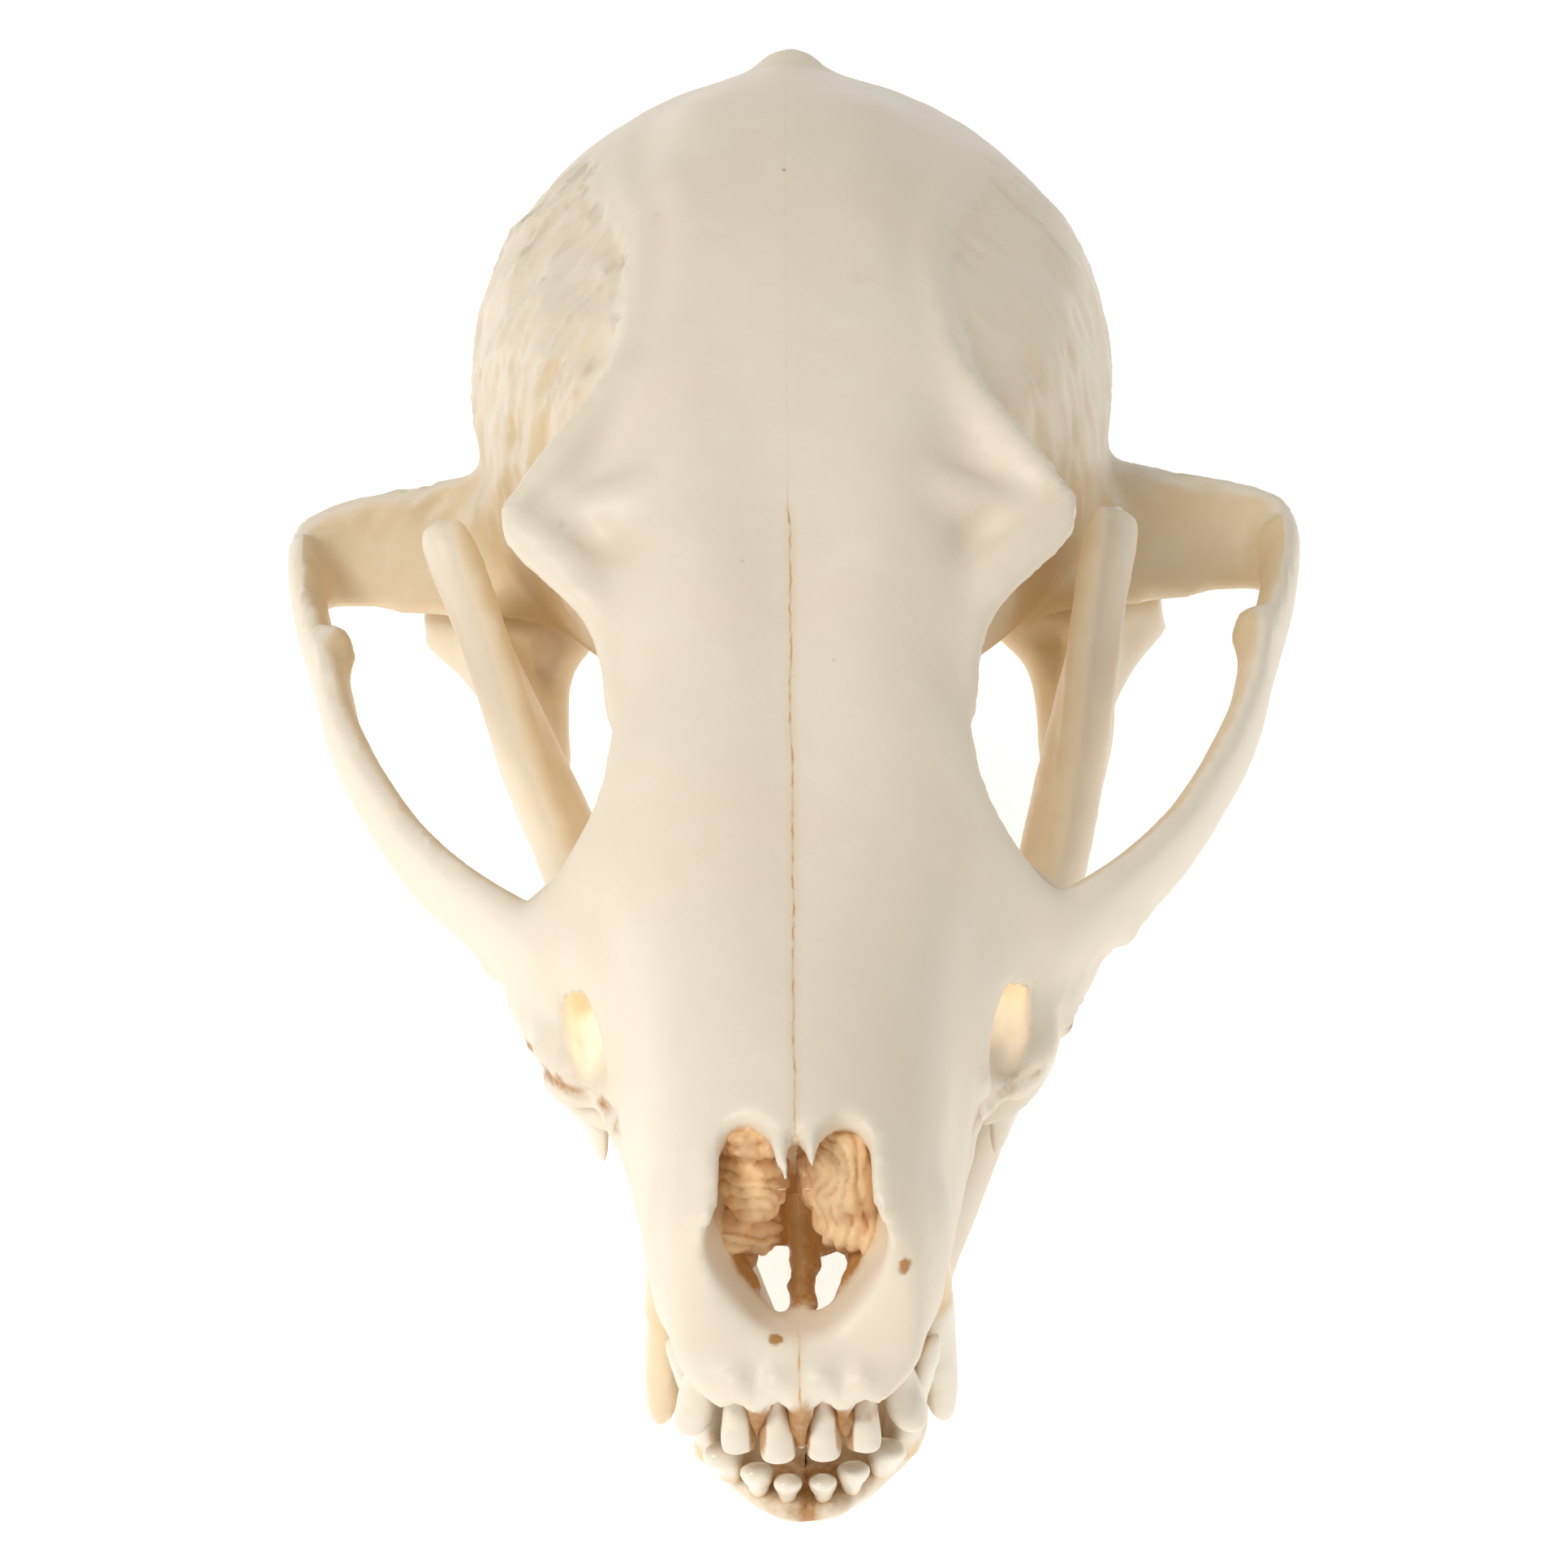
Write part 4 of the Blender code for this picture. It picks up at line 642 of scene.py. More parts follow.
def build_cranium():
    lines = [full_line(line) for line in CRANIUM_LINES]
    forms = [cranium_loft(lines, 0.0, CRANIUM_END, 260, 8, tip=OCCIPUT_CENTRE)]
    forms.append(ball(*SAGITTAL_KNOB))
    for item in (cheek_arch(), taper(CHEEK_BUMP), squamosal_root(), taper(BROW), taper(BROW_BACK),
                 taper(PROCESS_WEB), pterygoid_plate(), taper(HAMULUS), taper(PAROCCIPITAL),
                 taper(SQUAMOSAL_WEB), taper(ARCH_WEB), taper(BROW_ROLL)):
        forms += both(item)
    for mass in (BULLA, MASTOID, OCCIPITAL_CONDYLE, CANINE_SWELLING, *ROOT_BULGES):
        forms += both(ball(*mass))
    cranium = join(forms, "skull_cranium")
    fuse(cranium, FORM_VOXEL, 2)
    low = FORAMEN_Z - FORAMEN_HALF[1]
    high = FORAMEN_Z + FORAMEN_HALF[1]
    cut(cranium, cranium_loft(lines, *BRAIN_SPAN, 30, 4, inset=WALL))
    cut(cranium, piece("foramen", loft([ring_box(y, FORAMEN_HALF[0], low, high, 28, 1.0)
                                        for y in FORAMEN_SPAN])))
    cut(cranium, nose_mouth())
    cut(cranium, piece("throat", loft([ring_box(*row) for row in CHOANA])))
    cut(cranium, upright_oval(*NASAL_SLIT))
    for side in (1, -1):
        for form in (upright_oval(*NASAL_NOTCH), infraorbital_canal(), taper(EAR_HOLE)):
            if side < 0:
                other = twin(form)
                bpy.data.objects.remove(form, do_unlink=True)
                form = other
            cut(cranium, form)
        cut(cranium, fissure(side))
    forms = both(taper(NASAL_POINT)) + both(taper(INNER_POINT))
    forms += [ball(*mass) for mass in GUM_CRUST] + [taper(VOMER)]
    cranium = join([cranium] + forms, "skull_cranium")
    fuse(cranium, CRANIUM_VOXEL, 2)
    return cranium


def build_scrolls():
    """Rolled bones that fill the back of the nose, one lobed mass a side."""
    scrolls = []
    for name, masses in (("nose_scroll_left", SCROLL_LEFT), ("nose_scroll_right", SCROLL_RIGHT)):
        item = join([ball(*mass) for mass in masses], name)
        fuse(item, SCROLL_VOXEL, 2)
        scrolls.append(item)
    return scrolls


def skew(y, z):
    """Sideways shift of the lower jaw under the cranium."""
    raised = max(z - JAW_LEAN_FROM, 0.0) * min(max((y - 55.0) / 10.0, 0.0), 1.0)
    return along(SKEW, y)[0] - raised * SKEW_ROLL


def jaw_loft():
    """Half of the lower jaw as a blade whose sections stand across the head."""
    levels = (0.02, 0.06, 0.12, 0.2, 0.3, 0.4, 0.5, 0.6, 0.7, 0.8, 0.88, 0.95, 0.985)
    rings = []
    count = 200
    first = JAW_STATIONS[0][0]
    last = JAW_STATIONS[-1][0]
    for index in range(count + 1):
        y = first + (last - first) * index / count
        low, high, middle, thick_low, thick_high = along(JAW_STATIONS, y)

        def at(level, side):
            z = low + (high - low) * level
            swell = (1.0 - abs(2.0 * level - 1.0) ** 3) ** 0.5 if 0.0 < level < 1.0 else 0.0
            thick = thick_low + (thick_high - thick_low) * level
            lean = max(z - JAW_LEAN_FROM, 0.0) * JAW_LEAN
            tuck = max(JAW_TUCK_BELOW - z, 0.0) * JAW_TUCK * min(max((y - 14.0) / 14.0, 0.0), 1.0)
            return Vector((middle + lean - tuck + side * thick * swell, y, z))

        ring = [at(0.0, 0)] + [at(level, 1) for level in levels]
        ring += [at(1.0, 0)] + [at(level, -1) for level in reversed(levels)]
        rings.append(ring)
    return piece("blade", loft(rings))


def slab(centre, size):
    bpy.ops.mesh.primitive_cube_add(size=MM, location=Vector(centre) * MM, scale=size)
    bpy.ops.object.transform_apply(location=True, rotation=True, scale=True)
    return bpy.context.object


def build_jaw(name, side):
    rods = (CONDYLE, NECK_OUTER, NECK_INNER, NECK_MIDDLE, ANGULAR, CORONOID_EDGE)
    jaw = join([jaw_loft(), *(taper(rod) for rod in rods), *(ball(*mass) for mass in CHIN_MASS)], name)
    for vertex in jaw.data.vertices:
        x, y, z = vertex.co / MM
        vertex.co.x = (side * x + skew(y, z)) * MM
    if side < 0:
        jaw.data.flip_normals()
    fuse(jaw, JAW_VOXEL, 3)
    centre, half, turn = MASSETER_HOLLOW
    cut(jaw, ball((side * centre[0], centre[1], centre[2]), half, side * turn))
    fuse(jaw, JAW_VOXEL, 3)
    beyond = skew(SYMPHYSIS[1], SYMPHYSIS[2]) - side * (SYMPHYSIS_CUT[0] / 2 + 0.02)
    cut(jaw, slab((beyond, SYMPHYSIS[1], SYMPHYSIS[2]), SYMPHYSIS_CUT))
    return jaw


# Teeth.

# Teeth with one point: (share of the height, half width, half depth) in half sizes of the crown.
PEG = {
    "incisor": [
        (-0.35, 0.5, 0.7), (-0.15, 0.58, 0.86), (0.0, 0.62, 0.92), (0.15, 0.68, 0.97), (0.35, 0.82, 1.0),
        (0.55, 0.99, 0.93), (0.72, 1.08, 0.8), (0.86, 1.07, 0.62), (0.95, 0.95, 0.44), (0.99, 0.66, 0.26)],
    "knob": [
        (-0.3, 0.5, 0.7), (-0.15, 0.58, 0.8), (0.0, 0.64, 0.86), (0.2, 0.74, 0.92), (0.42, 0.92, 1.0),
        (0.62, 1.02, 1.0), (0.8, 0.98, 0.9), (0.91, 0.8, 0.7), (0.97, 0.56, 0.46), (0.995, 0.26, 0.2)],
    "canine": [
        (-0.35, 0.9, 0.9), (0.0, 0.97, 0.98), (0.08, 1.02, 1.02), (0.2, 0.98, 1.0), (0.4, 0.93, 0.9),
        (0.6, 0.86, 0.78), (0.76, 0.74, 0.62), (0.88, 0.58, 0.46), (0.95, 0.42, 0.32), (0.99, 0.22, 0.16)],
}
# Cusps of the cheek teeth: (across, along, height share, width) in half sizes of the crown.
CUSPS = {
    "premolar": [
        (0.0, -0.1, 1.0, 0.42), (0.0, 0.55, 0.42, 0.25), (0.0, -0.75, 0.2, 0.2), (0.0, 0.9, 0.2, 0.2),
    ],
    "carnassial": [(0.1, -0.15, 1.0, 0.38), (0.1, 0.55, 0.72, 0.38), (-0.6, -0.75, 0.4, 0.3)],
    "molar": [(0.62, -0.42, 1.0, 0.3), (0.62, 0.42, 0.85, 0.3), (-0.25, -0.35, 0.6, 0.26),
              (-0.25, 0.4, 0.5, 0.26), (-0.75, 0.1, 0.38, 0.3)],
}


def tooth_line(y, upper):
    return along(UPPER_TOOTH_LINE if upper else LOWER_TOOTH_LINE, y)[0]


def crown(spec, upper, side):
    """One tooth: a root and a crown with this kind's own cusps."""
    label = spec[0]
    x, y, across, length, turn, height, tip_x, tip_y, root = spec[1:]
    base = tooth_line(y, upper)
    up = -1.0 if upper else 1.0
    turned = math.radians(-turn)
    sway = 0.0 if upper else skew(y, base)

    def point(u, v, level, lean):
        px = u * math.cos(turned) - v * math.sin(turned)
        py = u * math.sin(turned) + v * math.cos(turned)
        return Vector((side * (x + px + tip_x * lean) + sway, y + py + tip_y * lean, base + up * level))

    rings = []
    kind = label.split("_")[0]
    if kind == "incisor" and (not upper or label == "incisor_3"):
        kind = "knob"
    if kind in PEG:
        profile = [(-root, *PEG[kind][0][1:])] + [row for row in PEG[kind] if row[0] > 0.02 - root]
        steps = 26
        for step in range(steps + 1):
            level = profile[0][0] + (profile[-1][0] - profile[0][0]) * (step / steps) ** 0.9
            wide, deep = along(profile, level)
            lean = max(level, 0.0) ** 1.35
            rings.append([
                point(across * wide * u, length * deep * v, level * height, lean)
                for u, v in round_trip(TOOTH_SEGMENTS)])
        return loft(rings, end_tip=point(0.0, 0.0, height, 1.0))
    if label == "premolar_4" and upper or label == "molar_1" and not upper:
        cusps = CUSPS["carnassial"]
    else:
        cusps = CUSPS[kind]
    for depth, share in ((-ROOT_DEPTH * root, 0.72), (-0.6, 0.86), (-0.1, 0.9), (0.35, 1.0), (0.8, 1.02)):
        rings.append([
            point(across * share * u, length * share * v, depth, 0.0) for u, v in round_trip(TOOTH_SEGMENTS)])
    for share in (0.97, 0.9, 0.8, 0.68, 0.54, 0.4, 0.26, 0.12):
        ring = []
        for u, v in round_trip(TOOTH_SEGMENTS):
            u *= share
            v *= share
            top = 0.0
            for cu, cv, tall, wide in cusps:
                reach = math.hypot(u - cu, v - cv) / wide
                top = max(top, tall * max(1.0 - 0.5 * reach ** 1.6, 0.0) if reach < 1.55 else 0.0)
            top = max(top, 0.3)
            ring.append(point(across * u, length * v, 0.8 + (height - 0.8) * top, top))
        rings.append(ring)
    return loft(rings)


def build_teeth():
    teeth = {}
    for upper, specs in ((True, UPPER_TEETH), (False, LOWER_TEETH)):
        for spec in specs:
            for side, word in ((1, "left"), (-1, "right")):
                name = ("upper_" if upper else "lower_") + spec[0] + "_" + word
                tooth = piece("tooth_" + name, crown(spec, upper, side))
                finer = tooth.modifiers.new("finer", "SUBSURF")
                finer.levels = 1
                finer.render_levels = 1
                settle(tooth)
                teeth[name] = tooth
    return teeth


# Surface relief and masks, over arrays of points in the skull frame, in millimetres.

def points_of(mesh):
    co = np.empty(len(mesh.vertices) * 3, np.float32)
    mesh.vertices.foreach_get("co", co)
    return co.reshape(-1, 3).astype(float) / MM


def normals_of(mesh):
    values = np.empty(len(mesh.vertices) * 3, np.float32)
    mesh.vertex_normals.foreach_get("vector", values)
    return values.reshape(-1, 3).astype(float)


def move_points(mesh, points):
    mesh.vertices.foreach_set("co", (points * MM).astype(np.float32).ravel())
    mesh.update()


def swell(mesh, height):
    """Move every point along its normal."""
    move_points(mesh, points_of(mesh) + normals_of(mesh) * height[:, None])


def keep_masks(mesh, **masks):
    """Store one value for each point under each name, for the materials."""
    for name, values in masks.items():
        layer = mesh.attributes.get(name) or mesh.attributes.new(name, "FLOAT", "POINT")
        values = np.broadcast_to(values, len(mesh.vertices))
        layer.data.foreach_set("value", np.ascontiguousarray(values, np.float32))


def mirrored(points):
    """The same points folded onto the left side."""
    folded = points.copy()
    folded[:, 0] = np.abs(folded[:, 0])
    return folded


def near_path(points, path):
    """Distance of every point to a run of straight pieces."""
    best = np.full(len(points), 1e9)
    for first, second in zip(path, path[1:]):
        start = np.array(first, float)
        way = np.array(second, float) - start
        share = np.clip((points - start) @ way / (way @ way), 0.0, 1.0)
        best = np.minimum(best, np.linalg.norm(points - start - share[:, None] * way, axis=1))
    return best


def bump(distance, width):
    return np.exp(-(distance / width) ** 2)


def spot(points, centre, width):
    """Soft round mask; width is one number or three."""
    return np.exp(-(((points - np.array(centre)) / np.array(width)) ** 2).sum(1))


def step_up(values, low, high):
    share = np.clip((values - low) / (high - low), 0.0, 1.0)
    return share * share * (3 - 2 * share)


def within(values, low, full, full_end, end):
    """Soft band: 0 below low, 1 from full to full_end, 0 again above end."""
    return step_up(values, low, full) * step_up(-values, -end, -full_end)


def cloud(points, size, seed, cells=32):
    """Smooth noise from -1 to 1 with features of one size."""
    table = np.random.default_rng(seed).random((cells, cells, cells))
    at = points / size + 97.0
    base = np.floor(at).astype(int)
    share = at - base
    share = share * share * (3 - 2 * share)
    total = np.zeros(len(points))
    for dx in (0, 1):
        for dy in (0, 1):
            for dz in (0, 1):
                weight = (
                    (share[:, 0] if dx else 1 - share[:, 0])
                    * (share[:, 1] if dy else 1 - share[:, 1])
                    * (share[:, 2] if dz else 1 - share[:, 2])
                )
                total += weight * table[
                    (base[:, 0] + dx) % cells, (base[:, 1] + dy) % cells, (base[:, 2] + dz) % cells]
    return total * 2.0 - 1.0


def line_points(line, first, last, count):
    """Points of a feature line between two stations, on the left side."""
    full = full_line(line)
    rows = (along(full, first + (last - first) * index / count) for index in range(count + 1))
    return [(x, y, z) for x, z, y in rows]


# Lines on the left side that the relief and the stains follow.
RIDGE = line_points(CREST_LINE, 65.5, 120.0, 26)
BROW_LIP = [
    (11.9, 52.0, 19.0), (12.7, 57.7, 21.4), (14.8, 60.9, 22.8), (17.4, 63.7, 24.0), (18.8, 64.8, 24.5),
]
BROW_HOLLOW = [(11.4, 61.6, 22.9), (13.6, 64.4, 24.2), (16.0, 65.7, 24.9)]
GUM_LINE = [
    (11.2, 20.0, 1.4), (11.3, 22.5, 2.2), (11.5, 25.0, 2.8), (12.0, 27.2, 2.3), (12.8, 29.3, 1.6),
    (14.2, 31.2, 1.2), (15.5, 32.2, 1.4), (16.7, 34.2, 0.9), (17.9, 37.5, 0.4), (19.0, 41.5, 0.1),
]
# Small smudges: centre, half sizes, depth of colour.
SMUDGES = [
    ((-13.3, 79.3, 26.5), (0.8, 1.3, 0.9), 0.5), ((-14.2, 77.7, 25.6), (0.7, 1.2, 0.8), 0.4),
    ((-15.2, 63.8, 24.3), (0.6, 0.6, 0.6), 0.6), ((-8.8, 91.5, 30.5), (1.0, 3.2, 1.6), 0.3),
    ((-16.8, 99.3, 24.5), (1.6, 2.2, 1.6), 0.25), ((5.2, 82.8, 31.1), (2.0, 2.4, 2.0), 0.3),
    ((-1.4, 2.8, 3.2), (0.42, 0.42, 0.42), 2.0), ((6.8, 4.3, 7.6), (0.42, 0.42, 0.42), 2.0),
    ((8.4, 5.9, 6.7), (1.6, 0.6, 0.5), 0.4), ((0.0, 9.6, 12.6), (0.7, 1.4, 1.4), 0.7),
    ((-5.6, 11.0, 6.8), (0.9, 1.6, 2.4), 0.4), ((0.3, 1.8, 0.6), (1.6, 1.6, 0.6), 0.5),
]


def side_of_ridge(p):
    """Distance out past the ridge at the edge of the jaw muscle's field."""
    return p[:, 0] - np.interp(p[:, 1], [r[1] for r in RIDGE], [r[0] for r in RIDGE])


def fossa_mask(points):
    """Side wall of the braincase where the jaw muscle held on, with a ragged upper edge."""
    p = mirrored(points)
    x, y, z = p.T
    edge = side_of_ridge(p) - 1.2 + 0.5 * cloud(points, 1.7, 8) + 0.3 * cloud(points, 0.8, 9)
    edge -= 0.9 * step_up(y, 88.0, 100.0)
    return step_up(edge, 0.0, 0.45) * within(y, 66.5, 71.0, 105.0, 113.0) * step_up(z, 7.0, 12.0)


def cranium_relief(points, normals):
    """How far each point of the cranium moves out along its normal."""
    p = mirrored(points)
    x, y, z = p.T
    upper = step_up(normals[:, 2], -0.1, 0.35)
    ridge = near_path(p, RIDGE)
    move = 0.2 * bump(ridge, 1.1) * upper * (1.0 - 0.5 * step_up(y, 100.0, 112.0))
    valley = (side_of_ridge(p) + 2.7) / 1.7
    one_side = step_up(-points[:, 0], -2.0, 2.0)
    valley = (0.12 + 0.18 * one_side) * np.exp(-valley * valley)
    move += valley * within(y, 70.0, 76.0, 96.0, 104.0)
    fossa = fossa_mask(points)
    way = np.array([-0.6, 0.65, 0.45])
    way /= np.linalg.norm(way)
    across = np.cross(way, (0.6, 0.0, 0.8))
    across /= np.linalg.norm(across)
    twisted = p + 0.8 * np.stack([cloud(points, 4.0, seed) for seed in (41, 42, 43)], 1)
    grain = np.stack(
        [twisted @ way / 3.6, twisted @ across / 1.15, twisted @ np.cross(way, across) / 3.0], 1)
    ridges = 0.5 - np.abs(cloud(grain, 1.0, 3)) * 2.0
    finer = 0.4 - np.abs(cloud(grain * 1.9, 1.0, 4))
    fade = 0.55 + 0.45 * cloud(points, 7.0, 5)
    wrinkles = 0.36 * ridges * (0.55 + 0.6 * fade) + 0.2 * finer + 0.2 * cloud(points, 3.0, 15) - 0.3
    move += fossa * (0.42 + 0.58 * one_side) * wrinkles
    move += 0.22 * bump(near_path(p, BROW_LIP), 1.0)
    move -= 0.45 * bump(near_path(p, BROW_HOLLOW), 1.4) * upper
    gum = near_path(p, GUM_LINE)
    rear = step_up(y, 25.0, 29.0)
    move -= (0.16 + 0.4 * rear) * bump(gum + 0.35 * cloud(points, 1.2, 16), 0.6)
    roots = step_up(x, 8.5, 10.5) * within(y, 22.0, 28.0, 46.0, 50.0)
    roots *= step_up(-z, -6.0, -3.0)
    move += roots * (0.4 * cloud(points, 2.0, 17) + 0.14 * cloud(points, 0.9, 20)) * step_up(z, -1.6, 0.0)
    move += 0.06 * cloud(points, 7.0, 6) + 0.03 * cloud(points, 2.2, 7)
    move -= 0.05 * bump(points[:, 0], 0.4) * upper * within(y, 8.0, 12.0, 50.0, 64.0)
    crust = crust_mask(points)
    move += crust * (0.34 * cloud(points, 1.0, 18) + 0.2 * cloud(points, 0.6, 19))
    return move


def soften(mesh, share, rounds):
    """Relax the points of a mesh where a mask says so."""
    points = points_of(mesh)
    smooth = points.copy()
    for _ in range(rounds):
        for axis in range(3):
            smooth[:, axis] = even_out(mesh, smooth[:, axis], 1)
        smooth = points + share[:, None] * (smooth - points)
    move_points(mesh, smooth)


def scallop(points):
    """Edge of the bone at the upper front teeth: arched over each tooth, lower between them."""
    x, y, z = points.T
    near = step_up(-y, -6.5, -4.5) * step_up(-z, -2.6, -0.8)
    arches = sum(bump(np.abs(x) - at, 0.85) for at in (1.5, 3.95))
    valleys = sum(bump(np.abs(x) - at, 0.6) for at in (0.0, 2.72))
    return near * (0.75 * arches - 0.5 * valleys)


def crust_mask(points):
    """Rough brown remains on the floor of the nose and between the front teeth."""
    x, y, z = points.T
    floor = within(y, 6.4, 10.5, 17.0, 20.0) * step_up(-z, -6.2, -4.0)
    floor = floor * step_up(-np.abs(x), -5.4, -3.4) * step_up(z, -1.0, 0.6)
    gums = np.zeros(len(points))
    for centre, half, _ in GUM_CRUST:
        gums = np.maximum(gums, spot(points, centre, (half[0] * 1.5, half[1] * 1.8, half[2] * 1.15)))
    return np.clip(floor + 1.3 * step_up(gums, 0.25, 0.7), 0.0, 1.0)


def scroll_relief(points, side):
    """Wavy ridges of the rolled bones; stripes on one side, arcs on the other."""
    x, y, z = points.T
    warp = 0.75 * cloud(points, 2.1, 51 + side) + 0.3 * cloud(points, 0.9, 53 + side)
    if side > 0:
        run = z * 0.81 + y * 0.58 + 0.1 * x + warp
    else:
        run = np.hypot(x + 3.1, (z - 8.6) * 0.81 + (y - 10.4) * 0.58) + warp
    stripes = np.abs(np.sin(math.pi * run / 0.95))
    return 0.3 * (stripes - 0.75) + 0.18 * cloud(points, 1.2, 55) + 0.1 * cloud(points, 0.55, 56)


def way_out(items, rays=10, reach=14.0):
    """Share of the sky that each point of each piece can't see, from 0 to 1."""
    corners = []
    faces = []
    for item in items:
        mesh = item.data
        start = len(corners)
        corners.extend(vertex.co[:] for vertex in mesh.vertices)
        faces.extend([start + i for i in face.vertices] for face in mesh.polygons)
    tree = BVHTree.FromPolygons(corners, faces)
    rng = np.random.default_rng(11)
    ways = rng.normal(size=(rays * 8, 3))
    ways /= np.linalg.norm(ways, axis=1)[:, None]
    shut = {}
    for item in items:
        points = points_of(item.data) * MM
        normals = normals_of(item.data)
        values = np.zeros(len(points))
        for index in range(len(points)):
            normal = normals[index]
            start = Vector(points[index] + normal * 0.15 * MM)
            blocked = 0.0
            for ray in range(rays):
                way = ways[(index * 7 + ray * 13) % len(ways)] + normal * 1.05
                hit = tree.ray_cast(start, Vector(way), reach * MM)
                if hit[0] is not None:
                    blocked += 1.0 - 0.5 * hit[3] / (reach * MM)
            values[index] = blocked / rays
        shut[item.name] = values
    return shut


def even_out(mesh, values, rounds):
    """Average a mask over neighbouring points."""
    edges = np.empty(len(mesh.edges) * 2, np.int32)
    mesh.edges.foreach_get("vertices", edges)
    one, two = edges.reshape(-1, 2).T
    count = len(values)
    number = np.bincount(one, minlength=count) + np.bincount(two, minlength=count)
    for _ in range(rounds):
        total = np.bincount(one, values[two], count) + np.bincount(two, values[one], count)
        values = 0.4 * values + 0.6 * total / np.maximum(number, 1)
    return values


def bend_of(mesh, rounds):
    """How far each point stands out from the smooth form around it, in millimetres."""
    points = points_of(mesh)
    soft = points.copy()
    for axis in range(3):
        soft[:, axis] = even_out(mesh, points[:, axis], rounds)
    return ((points - soft) * normals_of(mesh)).sum(1)


# Materials.

def add(tree, kind, links=(), values=(), **settings):
    """One shader node with its settings, socket values and incoming links."""
    made = tree.nodes.new(kind)
    for name, value in settings.items():
        setattr(made, name, value)
    for name, value in dict(values).items():
        made.inputs[name].default_value = value
    for name, source in dict(links).items():
        tree.links.new(source, made.inputs[name])
    return made


def mask(tree, name):
    return add(tree, "ShaderNodeAttribute", attribute_name=name).outputs["Fac"]


def maths(tree, operation, first, second=None, third=None):
    made = tree.nodes.new("ShaderNodeMath")
    made.operation = operation
    for index, value in enumerate((first, second, third)):
        if value is None:
            continue
        if isinstance(value, (int, float)):
            made.inputs[index].default_value = value
        else:
            tree.links.new(value, made.inputs[index])
    return made.outputs[0]


def ramp(tree, value, low, high, start=0.0, end=1.0):
    made = add(tree, "ShaderNodeMapRange", links={"Value": value},
               values={"From Min": low, "From Max": high, "To Min": start, "To Max": end})
    made.interpolation_type = "SMOOTHSTEP"
    return made.outputs["Result"]


def blend_colour(tree, share, first, second):
    made = tree.nodes.new("ShaderNodeMix")
    made.data_type = "RGBA"
    for index, value in ((0, share), (6, first), (7, second)):
        if isinstance(value, float):
            made.inputs[index].default_value = value
        elif isinstance(value, tuple):
            made.inputs[index].default_value = (*value, 1.0)
        else:
            tree.links.new(value, made.inputs[index])
    return made.outputs[2]


def noise(tree, place, scale, detail, rough=0.55):
    return add(tree, "ShaderNodeTexNoise", links={"Vector": place},
               values={"Scale": scale, "Detail": detail, "Roughness": rough}).outputs["Fac"]


def vary(tree, value, strength, base):
    """The base, moved up and down by a noise around one half."""
    return maths(tree, "MULTIPLY_ADD", maths(tree, "SUBTRACT", value, 0.5), strength, base)


def new_group(name, inputs, outputs):
    """Shader group with named inputs (colours have three numbers) and named outputs."""
    group = bpy.data.node_groups.new(name, "ShaderNodeTree")
    for label, value in inputs.items():
        kind = "NodeSocketColor" if isinstance(value, tuple) else "NodeSocketFloat"
        socket = group.interface.new_socket(label, in_out="INPUT", socket_type=kind)
        socket.default_value = (*value, 1.0) if isinstance(value, tuple) else value
    for label, kind in outputs.items():
        group.interface.new_socket(label, in_out="OUTPUT", socket_type="NodeSocket" + kind)
    return group, group.nodes.new("NodeGroupInput").outputs, group.nodes.new("NodeGroupOutput").inputs


def hand_out(group, out, results):
    for label, source in results.items():
        group.links.new(source, out[label])


